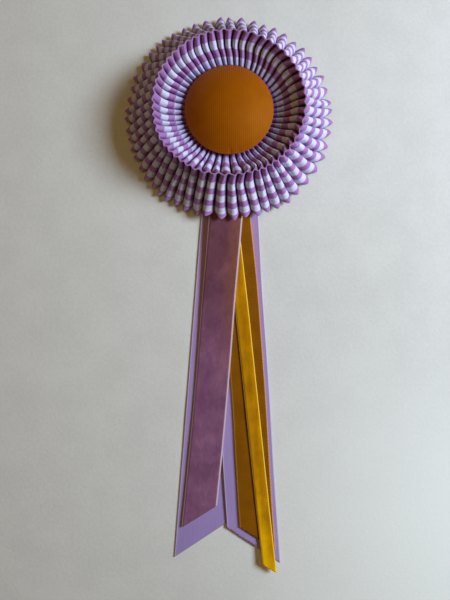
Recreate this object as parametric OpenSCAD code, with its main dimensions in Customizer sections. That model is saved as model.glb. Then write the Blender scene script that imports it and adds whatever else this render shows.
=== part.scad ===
// Ribbon rosette lying on its back: a pleated crater of striped ribbon round a domed button, with five
// ribbon tails. Z is the button's axis, the face that it rests on is z = 0, and the tails run along -Y.

/* [Head] */
// Radius of the circle that the frill's tips lie on
tip_r = 76.6; // [74:0.2:77.4]
// How far that circle is wider than it is tall, as a radius
tip_oval = 0.8; // [0:0.1:1.5]
// Height of a tip's crest
tip_z = 3.9; // [3.5:0.1:6]
// Radius of the rim where the two frills meet
rim_r = 50.9; // [50:0.1:52]
// How far the rim is wider than it is tall, as a radius
rim_oval = 1.1; // [0:0.1:1.5]
// Height of the rim
rim_z = 31.4; // [31:0.2:33]

/* [Pleats] */
// Depth of the zigzag along the rim
rim_depth = 1.4; // [1:0.1:1.6]
// Depth of an outer pleat halfway down its slope, from crest to valley
pleat_depth = 5.4; // [4.4:0.1:5.6]
// Depth of an inner pleat halfway down its slope
cup_depth = 4.6; // [3.8:0.1:4.8]
// How far the crests of the inner frill go in under the button's edge
tuck = 1; // [0.8:0.1:1.6]
// Where a flank's fold stands between valley and crest, from 0 to 1
flank_place = 0.34; // [0.28:0.01:0.5]
// Thickness of the pleated wall
pleat_wall = 1.1; // [1:0.1:1.2]
// Clearance between the two frills along the rim, measured along a radius
rim_gap = 0.75; // [0.7:0.05:0.8]
// How unequal the tips are in reach
ragged = 0.8; // [0:0.1:1.2]

/* [Button] */
// Radius of the covered button
button_r = 31.4; // [30:0.2:31.6]
// Height of its widest circle
button_edge_z = 20.2; // [20:0.1:21]
// Radius of its rolled edge
button_edge_r = 2.2; // [2:0.1:2.4]
// Rise of its dome above the widest circle
dome_h = 11; // [8:0.5:13]

/* [Backing] */
// Radius of the felt backing pad
pad_r = 35; // [32:1:36]
// Thickness of the pad
pad_t = 4; // [3.8:0.1:4]
// Radius of the stem that carries the button
stem_r = 16; // [14:0.5:16]
// Clearance between pieces that lie on each other
gap = 0.2; // [0.15:0.05:0.2]

/* [Pin] */
// Length of the bar pin
pin_l = 32; // [24:1:34]
// Width of the bar pin's plate
pin_w = 6; // [5:0.5:7]
// Thickness of the plate
pin_plate_t = 0.8; // [0.6:0.1:0.8]
// Diameter of the pin's wire
pin_wire_d = 1.2; // [0.8:0.1:1.2]
// How far the pin sits above the middle of the head, where the rosette hangs straight
pin_y = 20; // [18:1:22]

/* [Tails] */
// Thickness of every tail
tail_t = 1; // [1:0.1:1.1]
// Width of the satin tails
satin_w = 38; // [36:0.5:40]
// Width of the ribbed and the mauve velvet tails
middle_w = 25; // [24:0.5:26]
// Width of the yellow velvet tail
narrow_w = 10; // [9:0.5:10.5]
// Slant of the tails' cut ends
cut_angle = 38; // [30:1:42]

/* [Hidden] */
$fn = 96;

striped = [0.72, 0.58, 0.74];
lilac = [0.55, 0.48, 0.67];
mauve = [0.43, 0.28, 0.39];
ochre = [0.49, 0.29, 0.06];
yellow = [0.80, 0.55, 0.02];
mustard = [0.60, 0.36, 0.06];
felt = [0.35, 0.27, 0.36];
steel = [0.75, 0.76, 0.78];

// Rows of the pleats, anticlockwise. Columns: angle from +X of the outer fold at the rim, angle of its tip
PLEATS = [
    [-2, 5.2], [4.8, 9], [11.6, 16.8], [18.4, 24.2], [24.1, 30.2], [29.9, 36.6], [36.8, 43.2], [44, 49],
    [51.2, 56.4], [57.7, 63], [64, 69.4], [72.3, 75.2], [79.3, 82.8], [86.8, 90.2], [94.8, 94.4],
    [101.9, 103.6], [107.2, 110], [112.9, 116.6], [118.7, 123.4], [124.7, 130.2], [131.8, 134.6],
    [138.5, 140.2], [144.9, 147.4], [151.1, 156.6], [157.5, 162], [163.4, 169], [169.5, 175.4],
    [177.6, 179.6], [183.6, 186.8], [189.2, 191.4], [194.6, 197.4], [200.8, 202.2], [207.4, 209.4],
    [213.4, 215.4], [218.7, 221.6], [224.6, 226.8], [230.2, 231.8], [235.5, 238], [242.2, 243.8],
    [250, 251.2], [258, 256.6], [266.5, 265.8], [274.5, 273], [281.2, 279.4], [288.3, 287.2],
    [293.6, 292.8], [299, 299], [304.5, 306], [310, 312.6], [315.7, 321], [322, 329.4], [328.7, 338.2],
    [335.8, 344], [343.2, 352.6], [350.2, 358]
];
RIM = 0;
TIP = 1;
pleats = len(PLEATS);

// Columns: angle round the head, degrees that an outer pleat turns from the rim to the foot of its neck
NECK = [
    [0, 1], [20, -0.4], [45, 0.3], [90, -0.3], [180, -0.8], [195, 0.6], [225, 0.5], [250, -1.5],
    [262, -1.8], [272, -3.3], [282, -3.5], [294, -0.6], [318, 1.2], [330, 1.8], [360, 1]
];

// Columns: angle round the head, degrees that an inner pleat turns under the rim, degrees that it turns
// further on towards the button
TWIST = [
    [0, 2.2, -0.6], [10, 1.1, -0.6], [18, 1.6, -1.7], [32, 3.4, -2], [44, 3.8, -2.4], [52, 2.7, -2.3],
    [64, 3, -2.8], [87, 1.2, -3], [95, -0.9, -2.4], [102, -1.2, -2.8], [108, 1.2, -2.6], [122, 2.9, -1.9],
    [150, 2, -1.8], [190, 2.1, -1.3], [204, 0.2, -1.2], [213, -1.2, -1.3], [238, -1.1, 0.2],
    [250, -3.5, -0.2], [268, -4, -0.5], [276, -2.2, -1.5], [282, 1.4, -3.3], [299, 2.1, -1.9],
    [310, 2.8, -0.1], [329, 5.2, 0.8], [343, 3.7, -0.3], [360, 2.2, -0.6]
];
TWIST_IN = [for (row = TWIST) [row[0], row[1]]];
TWIST_ON = [for (row = TWIST) [row[0], row[2]]];

// Columns: angle round the head, how far the tips are lifted there by the tails under them
LIFT = [[232, 0], [250, 1.2], [256, 5.7], [280, 5.7], [287, 3.2], [292, 1.4], [302, 0]];

// Columns: angle round the head, how far the rim stands out there
BULGE = [[185, 0], [207, 1.3], [225, 0.6], [250, 0], [260, -1], [287, -1], [298, 0]];

// Rows of the outer frill. Columns: part of the way from rim to tip; how far the crest has come, as a part
// of the frill's run and of its drop; how far the valley lies inside the crest and below it, as parts of
// the pleat's depth; height of a flank as a part of the depth
OUTER_ROWS = [
    [0, 0, 0, rim_depth / pleat_depth, 0, 0.36],
    [0.1, 0.064, 0.126, 0.53, 0.28, 0.55],
    [0.205, 0.142, 0.255, 0.7, 0.56, 0.7],
    [0.55, 0.5, 0.608, 0.76, 0.7, 0.76],
    [0.88, 0.86, 0.932, 0.8, 0.46, 0.65],
    [1, 1, 1, 1.1, 0.31, 0.42]
];

// Rows of the inner frill. Columns: part of the way across its ribbon; the crest and the valley as above,
// with the valley outside the crest; height of a flank; parts of the two turns that are behind it
INNER_ROWS = [
    [0, 0, 0, rim_depth / cup_depth, 0, 0.36, 0, 0],
    [0.07, 0.114, 0.12, 0.41, 0.42, 0.52, 0.38, 0],
    [0.2, 0.272, 0.359, 0.68, 0.76, 0.7, 0.98, 0],
    [0.43, 0.626, 0.775, 0.62, 0.9, 0.75, 1, 0.8],
    [0.645, 1, 1, 0.22, 0.75, 0.7, 1, 1.25]
];

// Rows of the tails. Columns: distance below the head's axis, x of the middle line, height of the
// underside at the left edge and at the right edge
LILAC_LEFT = [
    [18, 2.6, 4.2, 4.2],
    [38, 1.1, 4.2, 4.2],
    [62, -0.9, 0, 0],
    [209, -12.5, 0, 0],
    [313.5, -20.8, 0, 0]
];
LILAC_RIGHT = [
    [18, -0.3, 5.4, 5.4],
    [38, 1.1, 5.4, 5.4],
    [62, 2.6, 1.2, 1.2],
    [75, 3.4, 1.25, 1.2],
    [123, 5.9, 1.45, 1.25],
    [166, 8.9, 1.6, 1.2],
    [209, 11.8, 1.65, 0.9],
    [257, 14.5, 1.5, 0.4],
    [317.6, 18.7, 1.3, 0]
];
GROSGRAIN = [
    [18, -2.3, 6.6, 6.6],
    [38, -0.1, 6.6, 6.6],
    [62, 2.3, 2.4, 2.4],
    [75, 3.7, 2.5, 2.45],
    [127, 9, 2.75, 2.55],
    [168, 12.1, 2.8, 2.45],
    [208, 15, 2.75, 2.25],
    [283, 19.4, 2.4, 1.7],
    [312, 21.4, 2.3, 1.4]
];
YELLOW = [
    [18, -4, 7.8, 7.8],
    [38, -1.9, 7.8, 7.8],
    [62, 0.7, 3.6, 3.6],
    [75, 2.1, 3.7, 3.7],
    [97, 4.5, 3.8, 3.8],
    [145, 10, 3.9, 3.85],
    [170, 12.6, 3.9, 3.8],
    [208, 16.6, 3.85, 3.65],
    [275, 23.7, 3.45, 3.15],
    [312, 27.7, 3, 2.9],
    [333, 30.1, 4.1, 3.9]
];
MAUVE = [
    [18, 2.2, 9, 9],
    [38, 0.5, 9, 9],
    [62, -1.5, 4.2, 5.7],
    [75, -2.6, 4, 5.7],
    [97, -4.5, 3.2, 5.8],
    [134, -7.8, 1.7, 5.4],
    [170, -10.5, 1.35, 4.5],
    [208, -13.6, 1.3, 3.5],
    [240, -16.5, 1.3, 2.9],
    [262, -18.7, 1.3, 2.5],
    [295.6, -22.1, 1.3, 1.5]
];

// Small unevenness of each pleat, from -1 to 1
uneven = rands(-1, 1, pleats, 7);
// How far the inner frill's crest lies below the button's rounded edge
cup_drop = 0.9;
// How far the inner frill's gathered edge stays away from the stem
collar_gap = 1.3;
// How far the gathered edge lies below the crest under the button
collar_drop = 1;
// Half of the distance between the crests of the two frills at the rim
rim_half = (rim_depth + rim_gap) / 2;
// Crest of the inner frill where it goes under the button, as radius and height
cup_edge = [button_r - tuck, button_edge_z - button_edge_r - cup_drop];
up = [0, 1];
// Edge of the inner frill, gathered round the stem
collar_edge = [stem_r + collar_gap, cup_edge[1] - collar_drop];
// Part of the ribbon over which the rim's bulge dies away
bulge_reach = 0.2;
// Share of the way between two folds of the rim where the valley between them lies
rim_split = 0.4;
// Part of the outer frill's slope over which its pleats turn in their necks
neck = 0.25;

stem_top = button_edge_z - button_edge_r - gap;
pocket_l = pin_l + 2;
pocket_w = pin_w + 2;
pocket_h = 3;

function mix(a, b, t) = a + (b - a) * t;
function clamp(t) = max(0, min(1, t));
function unit(v) = v / norm(v);
function turn(a) = a - 360 * floor(a / 360);

// Four columns for each pleat: a valley, a flank, the crest and the other flank. The crest of pleat i
// is at place i + 0.5 round the ring
columns = [for (i = [0 : pleats - 1])
    each [i, i + flank_place / 2, i + 0.5, i + 1 - flank_place / 2]];
steps = len(columns);
function is_flank(j) = j % 2 == 1;
// Height of column j as a part of the pleat's depth, where flank is the height of its flanks
function swell(j, flank) = is_flank(j) ? flank : j % 4 / 2;

// Angle at place g round the ring: a column of PLEATS, with split as the share of the way at which a
// whole number lies between its two entries
function fold_at(i, column) = PLEATS[(i + pleats) % pleats][column] + 360 * floor(i / pleats);
function spread(g, column, split) = let (
    i = floor(g - 0.5),
    share = 2 * (g - 0.5 - i),
    low = fold_at(i, column),
    high = fold_at(i + 1, column)
) share < 1 ? mix(low, high, share * split) : mix(low, high, split + (share - 1) * (1 - split));

function oval(base, spread, a) = base + spread * cos(2 * a);
function rim_at(a, t) = oval(rim_r, rim_oval, a) + lookup(turn(a), BULGE) * clamp(1 - t / bulge_reach);
// A point at radius and height p on the ray at angle a
function at_angle(a, p) = [p[0] * cos(a), p[0] * sin(a), p[1]];

// Outer frill: the visible face at column j of a row
function outer_angle(j, t) = let (
    g = columns[j],
    rim = spread(g, RIM, mix(rim_split, 0.5, clamp(t / neck))),
    turned = rim + lookup(turn(rim), NECK) * clamp(t / neck)
) mix(turned, spread(g, TIP, 0.5), clamp((t - neck / 2) / (1 - neck / 2)));
function outer_crest(a, row) = [
    mix(rim_at(a, row[0]) + rim_half, oval(tip_r, tip_oval, a), row[1]),
    mix(rim_z, tip_z, row[2])
];
function outer_face(j, row) = let (
    a = outer_angle(j, row[0]),
    away = [ragged * uneven[floor(j / 4)] * row[0] * row[0], lookup(turn(a), LIFT) * row[0]],
    below = [row[3], row[4]] * pleat_depth
) outer_crest(a, row) + away - below * (1 - swell(j, row[5]));

// Inner frill: its crests face the outer frill's valleys, so its columns are shifted by half a pleat
function inner_angle(j, row) = let (
    rim = spread(columns[j], RIM, mix(rim_split, 0.5, clamp(row[0] / neck))),
    a = turn(rim)
) rim + lookup(a, TWIST_IN) * row[6] + lookup(a, TWIST_ON) * row[7];
function inner_crest(a, row) = [
    mix(rim_at(a, row[0]) - rim_half, cup_edge[0], row[1]),
    mix(rim_z, cup_edge[1], row[2])
];
function inner_face(j, row) = let (
    below = [-row[3], row[4]] * cup_depth
) inner_crest(inner_angle(j, row), row) - below * (1 - swell(j + 2, row[5]));

// Step from the visible face through the wall at row i, as radius and height. It is square to the slope,
// but straight down at the rim, so that the two frills part there
function slope(before, after) = unit([before[1] - after[1], after[0] - before[0]]);
function outer_step(i) = -pleat_wall * (i == 0 ? up : slope(
    outer_crest(0, OUTER_ROWS[i - 1]),
    outer_crest(0, OUTER_ROWS[min(i + 1, len(OUTER_ROWS) - 1)])));
function inner_step(i) = pleat_wall * (i == 0 ? -up : slope(
    inner_crest(0, INNER_ROWS[i - 1]),
    inner_crest(0, INNER_ROWS[min(i + 1, len(INNER_ROWS) - 1)])));

// Closed ring through loops of points: loops[j] is the section at column j
module ring_solid(loops) {
    count = len(loops);
    size = len(loops[0]);
    points = [for (loop = loops) each loop];
    faces = [for (j = [0 : count - 1], k = [0 : size - 1]) let (
        n = (j + 1) % count, m = (k + 1) % size,
        a = j * size + k, b = j * size + m, c = n * size + m, d = n * size + k
    ) each [[a, b, c], [a, c, d]]];
    polyhedron(points = points, faces = faces, convexity = 12);
}

module outer_frill() {
    last = len(OUTER_ROWS) - 1;
    loops = [for (j = [0 : steps - 1]) [
        for (row = OUTER_ROWS)
            at_angle(outer_angle(j, row[0]), outer_face(j, row)),
        for (i = [last : -1 : 0]) let (row = OUTER_ROWS[i])
            at_angle(outer_angle(j, row[0]), outer_face(j, row) + outer_step(i))
    ]];
    color(striped) ring_solid([for (j = [steps - 1 : -1 : 0]) loops[j]]);
}

module inner_frill() {
    last = len(INNER_ROWS) - 1;
    loops = [for (j = [0 : steps - 1]) let (collar_angle = inner_angle(j, INNER_ROWS[last])) [
        for (row = INNER_ROWS)
            at_angle(inner_angle(j, row), inner_face(j, row)),
        at_angle(collar_angle, collar_edge),
        at_angle(collar_angle, collar_edge - up * pleat_wall),
        for (i = [last : -1 : 0]) let (row = INNER_ROWS[i])
            at_angle(inner_angle(j, row), inner_face(j, row) + inner_step(i))
    ]];
    color(striped) ring_solid(loops);
}

module button() {
    // The dome is an arc through the apex and the widest circle, above a rolled edge and a flat underside
    dome_r = (button_r * button_r + dome_h * dome_h) / (2 * dome_h);
    dome_half = asin(button_r / dome_r);
    arc_steps = 16;
    edge_steps = 6;
    color(mustard) rotate_extrude() polygon([
        [0, button_edge_z - button_edge_r],
        for (i = [0 : edge_steps]) let (a = -90 + 90 * i / edge_steps)
            [button_r - button_edge_r, button_edge_z] + button_edge_r * [cos(a), sin(a)],
        for (i = [1 : arc_steps]) let (a = dome_half * (1 - i / arc_steps))
            [dome_r * sin(a), button_edge_z + dome_h - dome_r * (1 - cos(a))]
    ]);
}

module backing() {
    color(felt) difference() {
        union() {
            cylinder(r = pad_r, h = pad_t);
            cylinder(r = stem_r, h = stem_top);
        }
        translate([-pocket_l / 2, pin_y - pocket_w / 2, -1]) cube([pocket_l, pocket_w, pocket_h + 1]);
    }
}

module pin_bar() {
    plate_z = pocket_h - gap - pin_plate_t;
    wire_z = 0.3 + pin_wire_d / 2;
    post_l = 2.5;
    color(steel) translate([-pin_l / 2, pin_y, 0]) {
        translate([0, -pin_w / 2, plate_z]) cube([pin_l, pin_w, pin_plate_t]);
        for (x = [0, pin_l - post_l])
            translate([x, -pin_w / 4, wire_z - pin_wire_d / 2])
                cube([post_l, pin_w / 2, plate_z - wire_z + 1]);
        translate([post_l / 2, 0, wire_z]) rotate([0, 90, 0]) cylinder(d = pin_wire_d, h = pin_l - post_l);
    }
}

// Direction of a tail's middle line at row i, seen from above
function tail_run(rows, i) = let (
    a = rows[max(0, i - 1)],
    b = rows[min(len(rows) - 1, i + 1)]
) unit([b[1] - a[1], a[0] - b[0]]);

// A ribbon of width w laid through rows, whose sections run along X but for the slanted cut at its
// end. A positive cut leaves the left side longer
module tail(rows, w, cut) {
    last = len(rows) - 1;
    sections = [for (i = [0 : last]) let (
        row = rows[i],
        along = tail_run(rows, i),
        half = i < last
            ? [-w / 2 / along[1], 0]
            : ([-along[1], along[0]] - along * tan(cut)) * w / 2,
        middle = [row[1], -row[0]],
        left = middle - half,
        right = middle + half
    ) [
        [left[0], left[1], row[2]],
        [right[0], right[1], row[3]],
        [right[0], right[1], row[3] + tail_t],
        [left[0], left[1], row[2] + tail_t]
    ]];
    sides = [for (i = [0 : last - 1], k = [0 : 3]) let (
        m = (k + 1) % 4,
        a = i * 4 + k, b = i * 4 + m, c = (i + 1) * 4 + m, d = (i + 1) * 4 + k
    ) each [[a, b, c], [a, c, d]]];
    foot = last * 4;
    ends = [[0, 2, 1], [0, 3, 2], [foot, foot + 1, foot + 2], [foot, foot + 2, foot + 3]];
    polyhedron(points = [for (section = sections) each section], faces = concat(sides, ends));
}

module tail_lilac_left() {
    color(lilac) tail(LILAC_LEFT, satin_w, cut_angle);
}

module tail_lilac_right() {
    color(lilac) tail(LILAC_RIGHT, satin_w, -cut_angle);
}

module tail_grosgrain() {
    color(ochre) tail(GROSGRAIN, middle_w, -cut_angle);
}

module tail_yellow_velvet() {
    color(yellow) tail(YELLOW, narrow_w, -cut_angle);
}

module tail_mauve_velvet() {
    color(mauve) tail(MAUVE, middle_w, cut_angle);
}

outer_frill();
inner_frill();
button();
backing();
pin_bar();
tail_lilac_left();
tail_lilac_right();
tail_grosgrain();
tail_yellow_velvet();
tail_mauve_velvet();
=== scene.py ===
"""Ribbon rosette lying on pale paper: two rings of pleated striped ribbon round a covered button, with
five ribbon tails, a felt back and a bar pin.

Lengths in the tables are millimetres in the part's frame: Z is the button's axis, the tails run along -Y
and the face that the rosette rests on is z = 0. Meshes are made in metres, and the finishes' own lengths
are metres too, unless they say otherwise.
"""
import logging
import math
import random
from dataclasses import dataclass
from enum import Enum
from typing import Callable, Optional, Sequence, Union

import bmesh
import bpy
from mathutils import Matrix, Vector


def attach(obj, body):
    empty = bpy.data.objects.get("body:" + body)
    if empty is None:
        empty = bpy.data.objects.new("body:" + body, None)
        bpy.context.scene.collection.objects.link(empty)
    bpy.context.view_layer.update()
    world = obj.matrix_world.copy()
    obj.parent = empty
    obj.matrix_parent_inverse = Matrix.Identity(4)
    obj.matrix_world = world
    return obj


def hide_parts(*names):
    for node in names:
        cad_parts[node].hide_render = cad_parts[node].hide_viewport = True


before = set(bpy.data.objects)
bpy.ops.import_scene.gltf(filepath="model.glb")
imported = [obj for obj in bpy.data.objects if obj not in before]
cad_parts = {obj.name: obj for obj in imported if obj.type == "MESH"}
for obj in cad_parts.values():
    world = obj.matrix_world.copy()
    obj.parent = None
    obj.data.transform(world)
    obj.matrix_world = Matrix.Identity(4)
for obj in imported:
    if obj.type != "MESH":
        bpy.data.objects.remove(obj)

LOG = logging.getLogger("rosette")
MM = 0.001
TURN = 360.0
UP = Vector((0, 0, 1))
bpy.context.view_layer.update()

Socket = bpy.types.NodeSocket
Value = Union[float, Socket]
Point = tuple[float, float, float]
Colour = tuple[float, float, float]
Tint = Union[Colour, Socket]
Mesh = bmesh.types.BMesh
Piece = bpy.types.Object
Material = bpy.types.Material


# Numbers and curves

def mix(a: float, b: float, t: float) -> float:
    """The value a share t of the way from a to b."""
    return a + (b - a) * t


def clamp(x: float, low: float = 0.0, high: float = 1.0) -> float:
    """x held between low and high."""
    return max(low, min(high, x))


def ease(x: float) -> float:
    """A smooth step from 0 to 1 as x goes from 0 to 1."""
    x = clamp(x)
    return x * x * (3 - 2 * x)


class Track:
    """A smooth curve through a few points that never overshoots them."""

    def __init__(self, knots: Sequence[float], values: Sequence[float]) -> None:
        """Works out the curve's slope at each point.

        Args:
            knots: the places of the points, rising.
            values: the value at each place.
        """
        self.knots = list(knots)
        self.values = list(values)
        steps = [b - a for a, b in zip(knots, knots[1:])]
        slopes = [(b - a) / h for a, b, h in zip(values, values[1:], steps)]
        inner = []
        for k in range(1, len(slopes)):
            before, after = slopes[k - 1], slopes[k]
            if before * after <= 0:
                inner.append(0.0)
                continue
            w1, w2 = 2 * steps[k] + steps[k - 1], steps[k] + 2 * steps[k - 1]
            inner.append((w1 + w2) / (w1 / before + w2 / after))
        self.slopes = [slopes[0], *inner, slopes[-1]]

    @classmethod
    def of(cls, rows: Sequence[Sequence[float]], column: int) -> "Track":
        """The track of one column of a table against its first column."""
        return cls([row[0] for row in rows], [row[column] for row in rows])

    def at(self, x: float) -> float:
        """The curve's value; past either end it goes on in a straight line.

        Args:
            x: the place.

        Returns:
            The value there.
        """
        low, high = self.knots[0], self.knots[-1]
        if x < low:
            return self.values[0] + (x - low) * self.slopes[0]
        if x > high:
            return self.values[-1] + (x - high) * self.slopes[-1]
        k = 0
        while k < len(self.knots) - 2 and x > self.knots[k + 1]:
            k += 1
        h = self.knots[k + 1] - self.knots[k]
        t = (x - self.knots[k]) / h
        a, b = self.values[k], self.values[k + 1]
        return (
            a * (1 + 2 * t) * (1 - t) ** 2
            + b * t * t * (3 - 2 * t)
            + h * self.slopes[k] * t * (1 - t) ** 2
            + h * self.slopes[k + 1] * t * t * (t - 1)
        )


# Meshes

class Part:
    """What every part of the scene shares."""

    def build(self) -> None:
        raise NotImplementedError


def finish_mesh(bm: Mesh, name: str, material: Material, smooth: bool = True) -> Piece:
    """Turns a bmesh in millimetres into an object in metres at the origin.

    Args:
        bm: the shape; it is freed.
        name: the object's name.
        material: its material.
        smooth: whether its faces are shaded smooth.

    Returns:
        The new object, linked to the scene.
    """
    bmesh.ops.scale(bm, vec=(MM, MM, MM), verts=bm.verts)
    for face in bm.faces:
        face.smooth = smooth
    mesh = bpy.data.meshes.new(name)
    bm.to_mesh(mesh)
    bm.free()
    mesh.materials.append(material)
    made = bpy.data.objects.new(name, mesh)
    bpy.context.scene.collection.objects.link(made)
    return made


def sew_on(piece: Piece, slot: str, node: str = "") -> None:
    """Makes an object one of the rosette's pieces, which all ride on its one body, and logs it.

    Args:
        piece: the object.
        slot: the record's material slot; not used.
        node: the solid that it stands for, where it stands for one.
    """
    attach(piece, "root")
    if node:
        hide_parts(node)
    LOG.info("%s: %d points", piece.name, len(piece.data.vertices))


def face_towards(bm: Mesh, direction: Callable[[Vector], Vector]) -> None:
    """Turns an open sheet so that its faces point along direction on the whole.

    Args:
        bm: the sheet, whose faces agree with each other.
        direction: gives the wanted direction at a point.
    """
    bm.normal_update()
    total = sum(face.normal.dot(direction(face.calc_center_median())) for face in bm.faces)
    if total < 0:
        bmesh.ops.reverse_faces(bm, faces=bm.faces)


def edges_of(verts: Sequence[bmesh.types.BMVert]) -> set[bmesh.types.BMEdge]:
    """The edges that meet at any of the points."""
    return {edge for vert in verts for edge in vert.link_edges}


def only(kind: type, geom: Sequence[object]) -> list:
    """Those of an operator's results that are of one kind, such as faces."""
    return [part for part in geom if isinstance(part, kind)]


def turned(degrees: float, axis: str) -> Matrix:
    """The rotation by an angle about an axis."""
    return Matrix.Rotation(math.radians(degrees), 3, axis)


def filled_plate(bm: Mesh, outline: Sequence[bmesh.types.BMEdge], thickness: float, low: float) -> None:
    """Fills an outline with its holes, gives it a thickness and sets its underside at a height.

    Args:
        bm: the mesh, which holds nothing else yet.
        outline: the edges of the outline and of the holes.
        thickness: the plate's thickness; its sign says to which side it grows.
        low: the height of the underside.
    """
    filled = bmesh.ops.triangle_fill(bm, use_beauty=True, use_dissolve=False, edges=outline)
    bmesh.ops.solidify(bm, geom=only(bmesh.types.BMFace, filled["geom"]), thickness=thickness)
    bmesh.ops.recalc_face_normals(bm, faces=bm.faces)
    bottom = min(vert.co.z for vert in bm.verts)
    bmesh.ops.translate(bm, vec=(0, 0, low - bottom), verts=bm.verts)


def grid_sheet(columns: int, rows: int) -> Mesh:
    """A flat grid with a UV map.

    Args:
        columns: how many faces it has along X.
        rows: how many it has along Y.

    Returns:
        The grid, whose points have x from 0 to columns and y from 0 to rows.
    """
    bm = bmesh.new()
    bm.loops.layers.uv.new("Cloth")
    bmesh.ops.create_grid(bm, x_segments=columns, y_segments=rows, size=0.5, calc_uvs=True)
    bmesh.ops.translate(bm, vec=(0.5, 0.5, 0), verts=bm.verts)
    bmesh.ops.scale(bm, vec=(columns, rows, 1), verts=bm.verts)
    return bm


def lay_out(
    bm: Mesh,
    place: Callable[[int, int], Vector],
    cloth: Callable[[int, int], tuple[float, float]],
) -> None:
    """Moves a grid's points to their places and writes the flat cloth's coordinates to its UV map.

    Args:
        bm: a grid from grid_sheet.
        place: gives the point for a column and a row, in millimetres.
        cloth: gives the flat cloth's coordinates there, in metres.
    """
    uv = bm.loops.layers.uv.active
    cells = {vert: (round(vert.co.x), round(vert.co.y)) for vert in bm.verts}
    for face in bm.faces:
        for loop in face.loops:
            loop[uv].uv = cloth(*cells[loop.vert])
    for vert, cell in cells.items():
        vert.co = place(*cell)


def thicken(piece: Piece, thickness: float) -> None:
    """Gives a sheet its thickness, behind its visible face.

    Args:
        piece: the sheet.
        thickness: the cloth's thickness in millimetres.
    """
    solid = piece.modifiers.new("Cloth", "SOLIDIFY")
    solid.thickness = thickness * MM
    solid.offset = -1
    solid.use_even_offset = False
    solid.use_rim = True


# Shader nodes

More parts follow.
